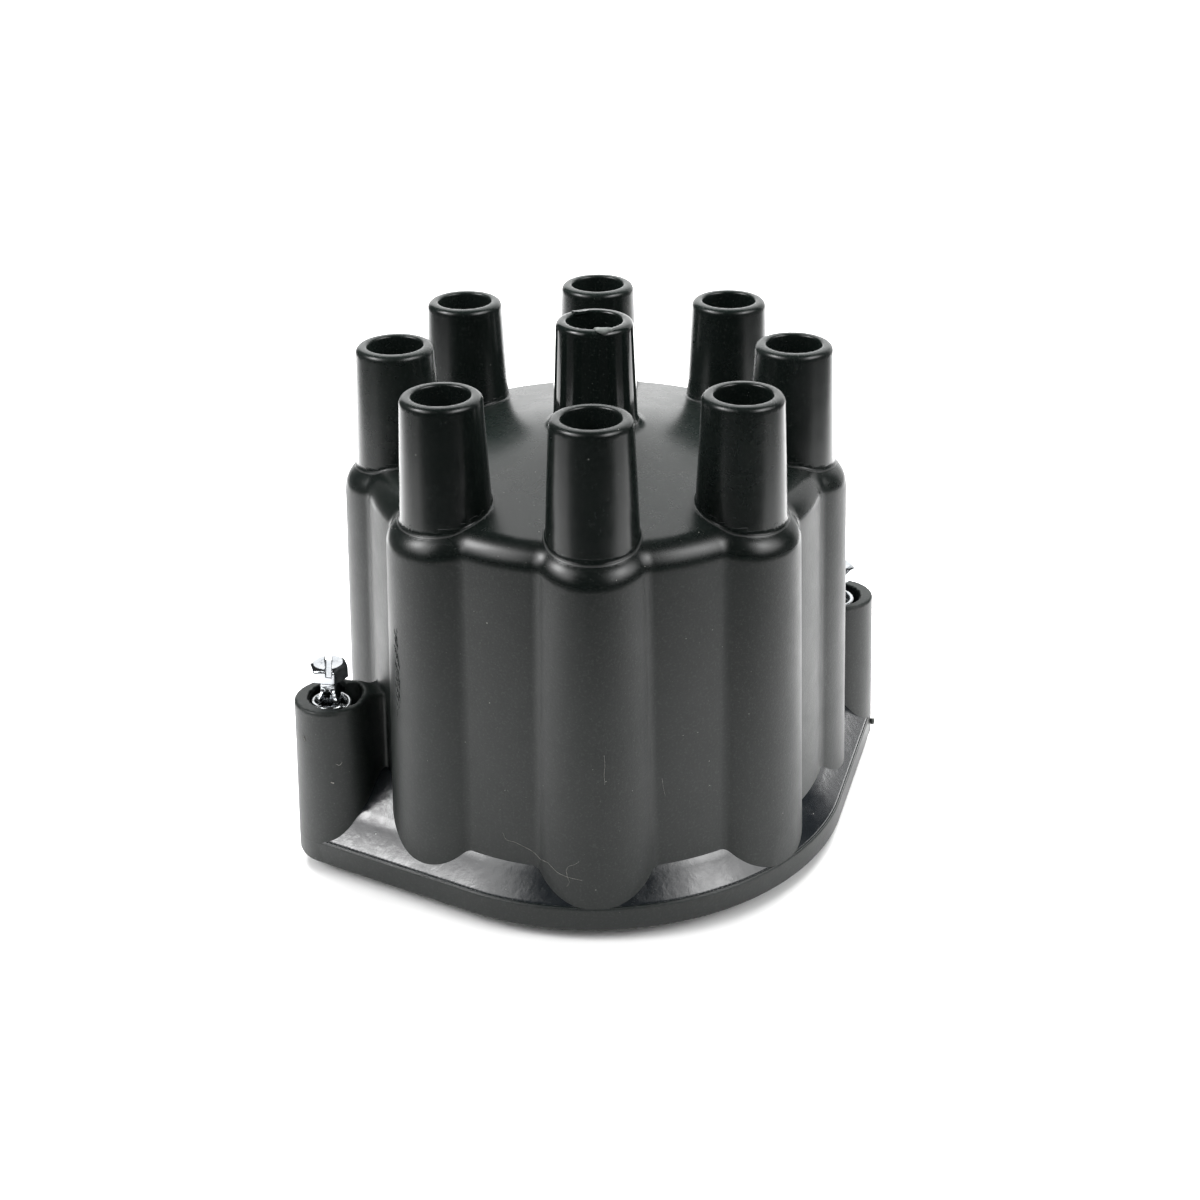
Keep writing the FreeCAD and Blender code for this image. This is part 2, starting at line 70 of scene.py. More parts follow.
CUP_TOP, CUP_BOTTOM, COIL_CUP_TOP, COIL_CUP_BOTTOM = 88.0, 75.2, 93.0, 80.2


def rmax(a, b, r):
    """Rounded intersection of two distances."""
    return np.minimum(-r, np.maximum(a, b)) + np.hypot(np.maximum(r + a, 0), np.maximum(r + b, 0))


def rmin(a, b, r):
    """Union of two distances with a concave fillet."""
    return np.maximum(r, np.minimum(a, b)) - np.hypot(np.maximum(r - a, 0), np.maximum(r - b, 0))


def smooth(e0, e1, x):
    t = np.clip((x - e0) / (e1 - e0), 0, 1)
    return t * t * (3 - 2 * t)


def clamped_spline(pts, s0, s1, n=400):
    """A cubic through pts with given end slopes, as a fine table (x, y, slope)."""
    x = np.array([p[0] for p in pts], float)
    y = np.array([p[1] for p in pts], float)
    m = len(x)
    A = np.zeros((m, m))
    b = np.zeros(m)
    A[0, 0] = A[-1, -1] = 1
    b[0], b[-1] = s0, s1
    for i in range(1, m - 1):
        h0, h1 = x[i] - x[i - 1], x[i + 1] - x[i]
        A[i, i - 1], A[i, i], A[i, i + 1] = 1 / h0, 2 * (1 / h0 + 1 / h1), 1 / h1
        b[i] = 3 * ((y[i] - y[i - 1]) / h0 ** 2 + (y[i + 1] - y[i]) / h1 ** 2)
    k = np.linalg.solve(A, b)
    xs = np.linspace(x[0], x[-1], n)
    j = np.clip(np.searchsorted(x, xs, side="right") - 1, 0, m - 2)
    h = x[j + 1] - x[j]
    t = (xs - x[j]) / h
    ys = (2 * t ** 3 - 3 * t ** 2 + 1) * y[j] + (t ** 3 - 2 * t ** 2 + t) * h * k[j] + (3 * t ** 2 - 2 * t ** 3) * y[j + 1] + (t ** 3 - t ** 2) * h * k[j + 1]
    return xs, ys, np.gradient(ys, xs)


DOME_X, DOME_Y, DOME_S = clamped_spline(DOME, 0.0, -0.235)


def dome_z(r):
    return np.interp(r, DOME_X, DOME_Y)


def outline_distance(xf, yf, z):
    """Distance to the fluted outline in one eighth's frame: xf along the flute's axis, yf >= 0."""
    rf = FLUTE_R + FLUTE_DRAFT * (FLUTE_Z - z)
    rw = WALL_R + WALL_DRAFT * (WALL_Z - z)
    a, b = rw + VALLEY_R, rf + VALLEY_R
    cx = (a * a - b * b + LEAD_PCR ** 2) / (2 * LEAD_PCR)
    cy = np.sqrt(np.maximum(a * a - cx * cx, 0.01))
    d_flute = np.hypot(xf - LEAD_PCR, yf) - rf
    d_wall = np.hypot(xf, yf) - rw
    vx, vy = xf - cx, yf - cy
    e1x, e1y = (LEAD_PCR - cx), -cy
    e2x, e2y = -cx, -cy
    inside = (e1x * vy - e1y * vx <= 0) & (vx * e2y - vy * e2x <= 0)
    return np.where(inside, VALLEY_R - np.hypot(vx, vy), np.minimum(d_flute, d_wall))


def polygon_distance(px, py, pts):
    d = np.full(px.shape, 1e9, px.dtype)
    s = np.ones(px.shape, px.dtype)
    n = len(pts)
    for i in range(n):
        ax, ay = pts[i]
        bx, by = pts[i - 1]
        ex, ey = bx - ax, by - ay
        wx, wy = px - ax, py - ay
        t = np.clip((wx * ex + wy * ey) / (ex * ex + ey * ey), 0, 1)
        d = np.minimum(d, (wx - ex * t) ** 2 + (wy - ey * t) ** 2)
        c1, c2, c3 = py >= ay, py < by, ex * wy > ey * wx
        s = np.where((c1 & c2 & c3) | (~c1 & ~c2 & ~c3), -s, s)
    return s * np.sqrt(d)


def arc_points(corner, before, after, radius, n=5):
    """Points of the arc that rounds a corner."""
    c, a, b = np.array(corner, float), np.array(before, float), np.array(after, float)
    u, v = (a - c) / np.linalg.norm(a - c), (b - c) / np.linalg.norm(b - c)
    half = math.acos(max(-1, min(1, float(u @ v)))) / 2
    t = radius / math.tan(half)
    m = (u + v) / np.linalg.norm(u + v)
    o = c + m * radius / math.sin(half)
    p, q = c + u * t - o, c + v * t - o
    w = math.acos(max(-1, min(1, float(p @ q) / radius ** 2)))
    return [tuple(o + (math.sin((1 - k / n) * w) * p + math.sin(k / n * w) * q) / math.sin(w)) for k in range(n + 1)]


CHAMBER = [(-20, -SPIGOT_DEPTH - 2), (MOUTH_R + 1.5, -SPIGOT_DEPTH - 2), (MOUTH_R + 1.3, -SPIGOT_DEPTH - 1), (MOUTH_R + 0.3, -SPIGOT_DEPTH), (MOUTH_R, -SPIGOT_DEPTH + 0.6)]
CHAMBER += arc_points((MOUTH_R_IN, LEDGE_Z), (MOUTH_R, -SPIGOT_DEPTH), (CHAMBER_R, LEDGE_Z), 0.8, 3)
CHAMBER += arc_points((CHAMBER_R, LEDGE_Z), (MOUTH_R_IN, LEDGE_Z), (CHAMBER_R_IN, CEILING_Z_OUT), 0.6, 3)
CHAMBER += arc_points((CHAMBER_R_IN, CEILING_Z_OUT), (CHAMBER_R, LEDGE_Z), (BOSS_R, CEILING_Z_IN), 3.0)
CHAMBER += arc_points((BOSS_R + 0.35, CEILING_Z_IN), (CHAMBER_R_IN, CEILING_Z_OUT), (BOSS_R, BOSS_Z), 1.6)
CHAMBER += arc_points((BOSS_R, BOSS_Z), (BOSS_R + 0.35, CEILING_Z_IN), (0, BOSS_Z), 0.6, 3)
CHAMBER += [(GUIDE_R + 0.3, BOSS_Z), (GUIDE_R, BOSS_Z + 0.3), (GUIDE_R, STEM_BOTTOM), (-20, STEM_BOTTOM)]


def fold(x, y):
    """The point turned into the nearest flute's frame."""
    step = math.pi / 4
    k = np.round(np.arctan2(y, x) / step)
    a = -k * step
    c, s = np.cos(a), np.sin(a)
    return x * c - y * s, x * s + y * c


def hull_distance(x, y):
    """Distance to the flange's outline, and the ear frame's coordinates."""
    c, s = math.cos(math.radians(EAR_AZ)), math.sin(math.radians(EAR_AZ))
    u, v = np.abs(x * c + y * s), np.abs(-x * s + y * c)
    re = EAR_R_FLANGE
    nx = (FLANGE_R - re) / EAR_OUT
    ny = math.sqrt(1 - nx * nx)
    t = nx * v - ny * u
    d = np.where(t >= 0, np.hypot(u, v) - FLANGE_R, np.where(t <= -EAR_OUT * ny, np.hypot(u - EAR_OUT, v) - re, nx * u + ny * v - FLANGE_R))
    return d, u, v


def pieces_of(x, y, z):
    """The distances to each part of the outside."""
    xf, yf = fold(x, y)
    yf = np.abs(yf)
    r = np.hypot(x, y)
    side = outline_distance(xf, yf, z)
    slope = np.interp(r, DOME_X, DOME_S)
    dome = (z - dome_z(r)) / np.sqrt(1 + slope * slope)
    body = rmax(side, dome, SHOULDER_R)
    rt = np.hypot(xf - LEAD_PCR, yf)
    lead_side = (rt - (TOWER_R + TOWER_DRAFT * (TOWER_TOP - z))) * 0.9989
    lead = np.maximum(rmax(lead_side, z - TOWER_TOP, TOWER_LIP), 66.0 - z)
    coil_side = (r - (COIL_R + COIL_DRAFT * (COIL_TOP - z))) * 0.9991
    coil = np.maximum(rmax(coil_side, z - COIL_TOP, TOWER_LIP), 74.0 - z)
    hull, u, v = hull_distance(x, y)
    z_in = COVE_Z - math.sqrt(COVE_R ** 2 - (COVE_IN + COVE_OUT) ** 2)
    k = (COVE_TOP - z_in) / (COVE_DEEP - COVE_IN)
    slope = (z - z_in - k * (-hull - COVE_IN)) / math.hypot(1, k)
    cove = rmax(rmax(COVE_R - np.hypot(-hull + COVE_OUT, z - COVE_Z), slope, 0.35), z - COVE_TOP, 0.4)
    flange = rmin(rmax(hull, z - FLANGE_T, FLANGE_EDGE), rmax(cove, hull + FLANGE_EDGE, 0.15), 0.12)
    re = EAR_R_TOP + EAR_DRAFT * (EAR_TOP - z)
    ear_side = (np.hypot(u - EAR_OUT, v) - re) * 0.9987
    boss = np.maximum(rmax(ear_side, z - EAR_TOP, EAR_LIP), 0.4 - z)
    neck = np.maximum(rmax(v - NECK_HALF - NECK_DRAFT * (NECK_TOP - z), z - NECK_TOP, 0.6), np.maximum(u - EAR_OUT, 36.0 - u))
    return dict(xf=xf, yf=yf, r=r, rt=rt, side=side, dome=dome, body=body, lead=lead, lead_side=lead_side, coil=coil, coil_side=coil_side,
                hull=hull, u=u, v=v, cove=cove, flange=flange, boss=boss, neck=neck, ear_side=ear_side)


def field(x, y, z):
    """Distance to the body with its towers and ears, negative inside."""
    q = pieces_of(x, y, z)
    ear = rmin(q["boss"], q["neck"], 2.0)
    out = rmax(rmin(q["body"], ear, 0.6), q["hull"] + 0.15, 0.2)
    # round the ear's outside the moulding runs down flush with the flange's edge
    end = np.maximum(np.maximum(q["ear_side"], z - 12.0), np.maximum(0.35 - z, EAR_OUT - 1.0 - q["u"]))
    # the towers stand on the top with a small fillet
    out = rmin(out, q["lead"], 0.55)
    out = rmin(out, q["coil"], 1.9)
    out = np.minimum(np.maximum(out, 2.0 - z), end)
    spigot = rmax(q["r"] - SPIGOT_R, -SPIGOT_DEPTH - z, 0.5)
    spigot = np.maximum(spigot, z - 3.0)
    out = np.minimum(out, spigot)
    # sockets
    rt, r = q["rt"], q["r"]
    rs = np.where(z > CUP_TOP, SOCKET_R_CUP + (z - CUP_TOP) * (SOCKET_R_TOP - SOCKET_R_CUP) / (TOWER_TOP - CUP_TOP),
                  SOCKET_R_CUP - (CUP_TOP - z) * (SOCKET_R_CUP - CUP_R_BOTTOM) / (CUP_TOP - CUP_BOTTOM))
    out = rmax(out, -np.maximum(rt - rs, CUP_BOTTOM - z), TOWER_MOUTH)
    rs = np.where(z > COIL_CUP_TOP, SOCKET_R_CUP + (z - COIL_CUP_TOP) * (SOCKET_R_TOP - SOCKET_R_CUP) / (COIL_TOP - COIL_CUP_TOP),
                  SOCKET_R_CUP - (COIL_CUP_TOP - z) * (SOCKET_R_CUP - CUP_R_BOTTOM) / (COIL_CUP_TOP - COIL_CUP_BOTTOM))
    out = rmax(out, -np.maximum(r - rs, COIL_CUP_BOTTOM - z), TOWER_MOUTH)
    # ears
    re = np.hypot(q["u"] - EAR_PCR, q["v"])
    out = rmax(out, -np.maximum(re - EAR_COUNTERBORE_R, EAR_FLOOR - z), 0.25)
    out = rmax(out, EAR_GUIDE_R - re, 0.3)
    # inside
    near = (r < 44.5) & (z < 78)
    if near.any():
        hollow = np.full(x.shape, 5.0, x.dtype)
        hollow[near] = polygon_distance(r[near], z[near], CHAMBER)
        out = rmax(out, -hollow, 0.3)
    c, s = math.cos(math.radians(NOTCH_AZ)), math.sin(math.radians(NOTCH_AZ))
    nu, nv = x * c + y * s, -x * s + y * c
    notch = np.maximum(np.maximum(np.abs(nv) - NOTCH_W / 2, 37.9 - nu), z + 0.0)
    out = rmax(out, -notch, 0.25)
    return out


def flange_field(x, y, z):
    """Distance to the flange with its cove; it ends inside the body's wall."""
    q = pieces_of(x, y, z)
    out = rmax(q["flange"], -z, 0.35)
    out = np.maximum(out, 43.6 - q["r"])
    return rmax(out, 3.25 - np.hypot(q["u"] - EAR_PCR, q["v"]), 0.2)


def in_chunks(f, P, n=60000):
    return np.concatenate([f(*(P[i:i + n].T)) for i in range(0, len(P), n)])


def gradient(P, e=0.02):
    G = np.empty_like(P)
    for a in range(3):
        d = np.zeros(3, P.dtype)
        d[a] = e
        G[:, a] = (in_chunks(field, P + d) - in_chunks(field, P - d)) / (2 * e)
    return G


def surface(h, lo, hi):
    """A quad mesh of the field's zero surface: one vertex in each cell that the surface crosses."""
    lo, hi = np.array(lo, float), np.array(hi, float)
    B = 4
    nb = np.ceil((hi - lo) / (h * B)).astype(int)
    ns = nb * B + 1
    ax = [lo[a] + h * B * (np.arange(nb[a]) + 0.5) for a in range(3)]
    X, Y, Z = np.meshgrid(*ax, indexing="ij")
    C = in_chunks(field, np.c_[X.ravel(), Y.ravel(), Z.ravel()]).reshape(nb)
    act = np.abs(C) < h * B * 0.866 * 1.35 + 0.4
    F = np.ones(ns, np.float32)
    up = np.repeat(np.repeat(np.repeat(C, B, 0), B, 1), B, 2)
    F[:-1, :-1, :-1] = up
    m = np.zeros(ns, bool)
    ua = np.repeat(np.repeat(np.repeat(act, B, 0), B, 1), B, 2)
    for i in (0, 1):
        for j in (0, 1):
            for k in (0, 1):
                m[i:i + ua.shape[0], j:j + ua.shape[1], k:k + ua.shape[2]] |= ua
    I = np.nonzero(m)
    P = np.stack(I, 1) * h + lo
    F[I] = in_chunks(field, P)
    S = F < 0
    cnt = np.zeros(tuple(ns - 1), np.uint8)
    for i in (0, 1):
        for j in (0, 1):
            for k in (0, 1):
                cnt += S[i:ns[0] - 1 + i, j:ns[1] - 1 + j, k:ns[2] - 1 + k]
    cells = (cnt > 0) & (cnt < 8)
    I, J, K = np.nonzero(cells)
    idx = np.full(cells.shape, -1, np.int32)
    idx[I, J, K] = np.arange(len(I))
    acc = np.zeros((len(I), 3))
    num = np.zeros(len(I))
    corners = [(i, j, k) for i in (0, 1) for j in (0, 1) for k in (0, 1)]
    for a in corners:
        for b in corners:
            if a < b and sum(abs(p - q) for p, q in zip(a, b)) == 1:
                fa = F[I + a[0], J + a[1], K + a[2]]
                fb = F[I + b[0], J + b[1], K + b[2]]
                c = (fa < 0) != (fb < 0)
                t = np.where(c, fa / np.where(c, fa - fb, 1), 0)
                for q in range(3):
                    acc[:, q] += np.where(c, a[q] + t * (b[q] - a[q]), 0)
                num += c
    V = lo + h * (np.c_[I, J, K] + acc / num[:, None])
    quads = []
    for a in range(3):
        s = [slice(1, -1)] * 3
        s0, s1 = list(s), list(s)
        s0[a], s1[a] = slice(0, -1), slice(1, None)
        A, Bq = S[tuple(s0)], S[tuple(s1)]
        E = np.nonzero(A != Bq)
        inside_first = A[E]
        c = [e + (0 if d == a else 1) for d, e in enumerate(E)]
        b1, b2 = [(1, 2), (2, 0), (0, 1)][a]

        def cell(o1, o2):
            t = list(c)
            t[b1] = t[b1] + o1
            t[b2] = t[b2] + o2
            return idx[t[0], t[1], t[2]]
        q = np.stack([cell(-1, -1), cell(0, -1), cell(0, 0), cell(-1, 0)], 1)
        q[~inside_first] = q[~inside_first][:, ::-1]
        quads.append(q)
    quads = np.concatenate(quads)
    assert quads.min() >= 0
    return V, quads


def settle(V, quads, h, rounds=3):
    """Evens the vertices out along the surface and puts them exactly on it."""
    n = len(V)
    ea, eb = quads.ravel(), np.roll(quads, -1, 1).ravel()
    deg = np.bincount(ea, minlength=n) + np.bincount(eb, minlength=n)
    for k in range(rounds):
        G = gradient(V)
        g2 = np.maximum((G * G).sum(1), 0.05)
        f = in_chunks(field, V)
        step = (f / g2)[:, None] * G
        ln = np.linalg.norm(step, axis=1)
        step *= np.minimum(1, 0.6 * h / np.maximum(ln, 1e-9))[:, None]
        V = V - step
        if k < rounds - 1:
            N = G / np.sqrt(g2)[:, None]
            M = np.stack([np.bincount(ea, V[eb, q], n) + np.bincount(eb, V[ea, q], n) for q in range(3)], 1) / deg[:, None]
            d = M - V
            d -= (d * N).sum(1)[:, None] * N
            V = V + 0.5 * d
    return V


# ---------------------------------------------------------------------------
# helpers for meshes and materials
# ---------------------------------------------------------------------------
def mesh_object(name, verts_mm, faces, smooth_shade=True):
    me = bpy.data.meshes.new(name)
    V = np.asarray(verts_mm, np.float64) * MM
    if isinstance(faces, np.ndarray):
        n, k = faces.shape
        me.vertices.add(len(V))
        me.vertices.foreach_set("co", V.astype(np.float32).ravel())
        me.loops.add(n * k)
        me.loops.foreach_set("vertex_index", faces.astype(np.int32).ravel())
        me.polygons.add(n)
        me.polygons.foreach_set("loop_start", np.arange(0, n * k, k, dtype=np.int32))
        me.update(calc_edges=True)
    else:
        me.from_pydata([tuple(v) for v in V], [], [tuple(f) for f in faces])
    me.validate()
    if smooth_shade:
        me.polygons.foreach_set("use_smooth", np.ones(len(me.polygons), bool))
    ob = bpy.data.objects.new(name, me)
    bpy.context.scene.collection.objects.link(ob)
    return ob


def point_values(me, name, values):
    a = me.attributes.new(name, "FLOAT", "POINT")
    a.data.foreach_set("value", np.asarray(values, np.float32))


# ---------------------------------------------------------------------------
# the cap's moulding: the body with its towers and ears, and the flange with its cove
# ---------------------------------------------------------------------------
def field_mesh(name, f, step, lo, hi, most, soft=0.02):
    """A closed mesh of a field, thinned to at most so many triangles, with the field's own normals."""
    global field
    kept = field
    field = f
    try:
        V, Q = surface(step, lo, hi)
        V = settle(V, Q, step, 3)
        ob = mesh_object(name, V, Q)
        if 2 * len(Q) > most:
            thin = ob.modifiers.new("thin", "DECIMATE")
            thin.ratio = most / (2 * len(Q))
            dg = bpy.context.evaluated_depsgraph_get()
            me = bpy.data.meshes.new_from_object(ob.evaluated_get(dg))
            ob.modifiers.clear()
            ob.data = me
        me = ob.data
        V = np.empty(len(me.vertices) * 3, np.float32)
        me.vertices.foreach_get("co", V)
        V = V.reshape(-1, 3).astype(np.float64) / MM
        G = gradient(V, soft)
    finally:
        field = kept
    N = G / np.maximum(np.linalg.norm(G, axis=1), 1e-9)[:, None]
    me.polygons.foreach_set("use_smooth", np.ones(len(me.polygons), bool))
    me.normals_split_custom_set_from_vertices([tuple(n) for n in N])
    return ob, V


def zones(ob, V):
    """Where each kind of surface lies, as weights on the mesh."""
    me = ob.data
    q = pieces_of(*V.T)
    z = V[:, 2]
    tower_d = np.minimum(q["lead"], q["coil"])
    tower_w = smooth(0.45, 0.05, tower_d) * (z > 70)
    point_values(me, "tower", tower_w)
    point_values(me, "coil", smooth(0.9, 0.1, q["coil"]) * (z > 74))
    point_values(me, "top", smooth(-SHOULDER_R * 1.0, -SHOULDER_R * 0.72, q["dome"]) * (z > 60) * (1 - tower_w))
    cove = 0.0 * z
    if ob.name == "cap_flange":
        cove = smooth(-0.12, -0.34, q["hull"]) * (z > 4.2)
    point_values(me, "cove", cove)
    # parting lines: a small ridge round each tower's foot, which the material paints pale as a painted highlight; the
    # one along the top of the flange's edge is the bead built further on
    foot = np.where(q["coil"] < q["lead"], q["coil_side"], q["lead_side"])
    point_values(me, "foot", np.where((np.abs(q["body"]) < 1.2) & (z > 66), foot - 0.33, 5.0))
    inner = smooth(0.2, 1.2, -np.minimum(q["body"], np.minimum(q["boss"], q["neck"]))) * (z < 76)
    point_values(me, "inside", inner)


cap, V = field_mesh("cap_moulding", field, 0.60, (-60.9, -52.6, -3.4), (60.9, 52.6, 104.0), 197000)
zones(cap, V)
flange, V = field_mesh("cap_flange", flange_field, 0.42, (-60.9, -52.6, -0.8), (60.9, 52.6, 25.4), 190000, 0.05)
zones(flange, V)

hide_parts("cap_body")
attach(cap, "cap")
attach(flange, "cap")


# ---------------------------------------------------------------------------
# hold-down latches: hexagon washer head with a slot, pinched wings, coil spring
# ---------------------------------------------------------------------------
SHANK_R, HEAD_UNDER, HEAD_TOP, HEAD_FLATS = 1.95, 37.7, 40.9, 6.85
COLLAR_R, COLLAR_T, SLOT_W, SLOT_D, SLOT_DIR = 3.4, 0.6, 1.2, 1.45, 108.0
SPRING_OD, SPRING_WIRE, SPRING_TOP = 8.26, 1.2, 33.2
WING_SPAN, WING_T, WING_H, WING_DIRS = 6.9, 0.85, 2.6, (-55.0, -120.0)
LATCH_TURN, LATCH_SHIFT = (-8.0, -10.0), ((0.0, 0.0), (-0.95, 0.0))
HOOK_TOP, HOOK_T = -0.25, 1.5


def screw_field(x, y, z):
    """The latch screw about its own axis, before it is turned."""
    r = np.hypot(x, y)
    hexa = np.full(x.shape, -1e9)
    for k in range(6):
        a = math.radians(30 + 60 * k)
        hexa = rmax(hexa, x * math.cos(a) + y * math.sin(a) - HEAD_FLATS / 2, 0.42) if k else x * math.cos(a) + y * math.sin(a) - HEAD_FLATS / 2
    # the top is crowned at the corners and dished in the middle
    top = np.maximum(z - HEAD_TOP + 0.02 * r, (z - HEAD_TOP + 0.62 * (r - 2.75)) * 0.85)
    dish = 6.2 - np.sqrt(x * x + y * y + (z - HEAD_TOP - 5.72) ** 2)
    head = rmax(rmax(hexa, top, 0.28), HEAD_UNDER + 0.2 - z, 0.1)
    head = rmax(head, dish, 0.18)
    collar = rmax(r - COLLAR_R, np.abs(z - HEAD_UNDER - COLLAR_T / 2) - COLLAR_T / 2, 0.22)
    out = rmin(head, collar, 0.12)
    shank = rmax(rmax(r - SHANK_R, z - HEAD_UNDER - 0.3, 0.05), HOOK_TOP - z, 0.15)
    out = rmin(out, shank, 0.3)
    foot = rmax(rmax(r - 1.42, HOOK_TOP - HOOK_T - z, 0.2), z - 1.0, 0.1)
    out = np.minimum(out, foot)
    s = math.radians(SLOT_DIR)
    sv = -x * math.sin(s) + y * math.cos(s)
    out = rmax(out, -rmax(np.abs(sv) - SLOT_W / 2, HEAD_TOP - SLOT_D - z, 0.12), 0.14)
    for d in WING_DIRS:
        a = math.radians(d)
        u, v = np.abs(x * math.cos(a) + y * math.sin(a)), np.abs(-x * math.sin(a) + y * math.cos(a))
        w = rmax(rmax(u - WING_SPAN / 2, SPRING_TOP - z, 0.25), (z - (SPRING_TOP + 0.7) + (u - WING_SPAN / 2) * 1.1) * 0.67, 0.35)
        w = rmax(w, v - WING_T / 2, 0.2)
        out = rmin(out, w, 0.35)
    return out


def spring_mesh(name, cx, cy, ro, wire, z0, z1, turns, end_deg, closed=1.0, seg=44, ring=14, kick=0.0):
    """A wound wire with closed ends, cut square."""
    rm = ro - wire / 2
    n = int(turns * seg)
    t = np.linspace(0, turns, n + 1)
    rate = np.where((t < closed) | (t > turns - closed), 1.0, 0.0)
    k = np.ones(int(seg * 0.6)) / int(seg * 0.6)
    rate = np.convolve(np.pad(rate, (len(k) // 2, len(k) - 1 - len(k) // 2), mode="edge"), k, mode="valid")
    total = z1 - z0 - wire
    tight = wire * 1.02
    share = np.trapezoid(rate, t) if hasattr(np, "trapezoid") else np.trapz(rate, t)
    loose = (total - tight * share) / max(turns - share, 1e-6)
    slope = rate * tight + (1 - rate) * loose
    z = z0 + wire / 2 + np.concatenate([[0], np.cumsum((slope[1:] + slope[:-1]) / 2 * np.diff(t))])
    z *= 1.0
    z = z0 + wire / 2 + (z - z0 - wire / 2) * total / (z[-1] - z0 - wire / 2)
    a = 2 * math.pi * (t - turns) + math.radians(end_deg)
    C = np.c_[cx + rm * np.cos(a), cy + rm * np.sin(a), z]
    T = np.gradient(C, axis=0)
    T /= np.linalg.norm(T, axis=1)[:, None]
    R = np.c_[np.cos(a), np.sin(a), np.zeros(len(a))]
    U = np.cross(T, R)
    U /= np.linalg.norm(U, axis=1)[:, None]
    ph = np.arange(ring) * 2 * math.pi / ring
    V, F = [], []
    scale = np.ones(len(C))
    for i in range(len(C)):
        for p in ph:
            V.append(C[i] + wire / 2 * scale[i] * (R[i] * math.cos(p) + U[i] * math.sin(p)))
    for i in range(len(C) - 1):
        for j in range(ring):
            F.append((i * ring + j, (i + 1) * ring + j, (i + 1) * ring + (j + 1) % ring, i * ring + (j + 1) % ring))
    # bevelled end caps
    for end, i, sgn in ((0, 0, -1), (1, len(C) - 1, 1)):
        base = len(V)
        for p in ph:
            V.append(C[i] + T[i] * sgn * wire * 0.06 + wire / 2 * 0.86 * (R[i] * math.cos(p) + U[i] * math.sin(p)))
        V.append(C[i] + T[i] * sgn * wire * 0.07)
        for j in range(ring):
            a0, a1, b0, b1 = i * ring + j, i * ring + (j + 1) % ring, base + j, base + (j + 1) % ring
            F.append((a0, b0, b1, a1) if sgn < 0 else (a0, a1, b1, b0))
            F.append((b0, base + ring, b1) if sgn < 0 else (b1, base + ring, b0))
    ob = mesh_object(name, V, F)
    bm = bmesh.new()
    bm.from_mesh(ob.data)
    bmesh.ops.recalc_face_normals(bm, faces=bm.faces)
    bm.to_mesh(ob.data)
    bm.free()
    return ob


def generic_surface(f, h, lo, hi):
    """As surface() and settle(), for another field."""
    global field
    kept = field
    field = f
    try:
        V, Q = surface(h, lo, hi)
        V = settle(V, Q, h, 3)
        G = gradient(V, 0.01)
    finally:
        field = kept
    return V, Q, G / np.maximum(np.linalg.norm(G, axis=1), 1e-9)[:, None]


SV, SQ, SN = generic_surface(screw_field, 0.17, (-4.6, -4.6, -2.4), (4.6, 4.6, 41.8))
screws, springs = {}, {}
for k, side in ((0, "right"), (1, "left")):
    a = math.radians(EAR_AZ + 180 * k)
    cx, cy = EAR_PCR * math.cos(a) + LATCH_SHIFT[k][0], EAR_PCR * math.sin(a) + LATCH_SHIFT[k][1]
    t = math.radians(LATCH_TURN[k])
    P = SV.copy()
    P[:, 0], P[:, 1] = SV[:, 0] * math.cos(t) - SV[:, 1] * math.sin(t) + cx, SV[:, 0] * math.sin(t) + SV[:, 1] * math.cos(t) + cy
    M = SN.copy()
    M[:, 0], M[:, 1] = SN[:, 0] * math.cos(t) - SN[:, 1] * math.sin(t), SN[:, 0] * math.sin(t) + SN[:, 1] * math.cos(t)
    ob = mesh_object("screw_" + side, P, SQ)
    ob.data.normals_split_custom_set_from_vertices([tuple(n) for n in M])
    point_values(ob.data, "height", SV[:, 2])
    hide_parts("latch_screw_" + side)
    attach(ob, "latch_" + side)
    screws[side] = ob
    ob = spring_mesh("coil_spring_" + side, cx, cy, SPRING_OD / 2, SPRING_WIRE, EAR_FLOOR, SPRING_TOP, 8.75, -48.0 if side == "left" else 60.0)
    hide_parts("latch_spring_" + side)
    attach(ob, "spring_" + side)
    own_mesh(ob)
    springs[side] = ob

coil_small = spring_mesh("button_coil", 0, 0, 2.1, 0.35, 68.4, 72.0, 5.5, 20.0, closed=0.9, seg=36, ring=10)
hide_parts("button_spring")
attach(coil_small, "cap")
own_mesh(coil_small)


# ---------------------------------------------------------------------------
# small marks of a real moulding: bead, flash, nub, lint
# ---------------------------------------------------------------------------
def strand(name, pts, radii, sides=6, loop=False):
    """A round string through pts, closed on itself or capped at both ends."""
    P = np.asarray(pts, float)
    n = len(P)
    r = np.broadcast_to(np.asarray(radii, float), (n,))
    T = (np.roll(P, -1, 0) - np.roll(P, 1, 0)) if loop else np.gradient(P, axis=0)
    T /= np.linalg.norm(T, axis=1)[:, None]
    up = np.array([0.0, 0.0, 1.0])
    side = np.cross(T, up)
    flat = np.linalg.norm(side, axis=1) < 0.2
    side[flat] = np.cross(T[flat], np.array([1.0, 0.2, 0.0]))
    side /= np.linalg.norm(side, axis=1)[:, None]
    up = np.cross(side, T)
    V, F = [], []
    for i in range(n):
        for j in range(sides):
            a = 2 * math.pi * j / sides
            V.append(P[i] + r[i] * (side[i] * math.cos(a) + up[i] * math.sin(a)))
    for i in range(n if loop else n - 1):
        k = (i + 1) % n
        for j in range(sides):
            F.append((i * sides + j, k * sides + j, k * sides + (j + 1) % sides, i * sides + (j + 1) % sides))
    if not loop:
        F.append(tuple(range(sides)))
        F.append(tuple((n - 1) * sides + j for j in reversed(range(sides))))
    ob = mesh_object(name, V, F)
    bm = bmesh.new()
    bm.from_mesh(ob.data)
    bmesh.ops.recalc_face_normals(bm, faces=bm.faces)
    bm.to_mesh(ob.data)
    bm.free()
    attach(ob, "cap")
    return ob


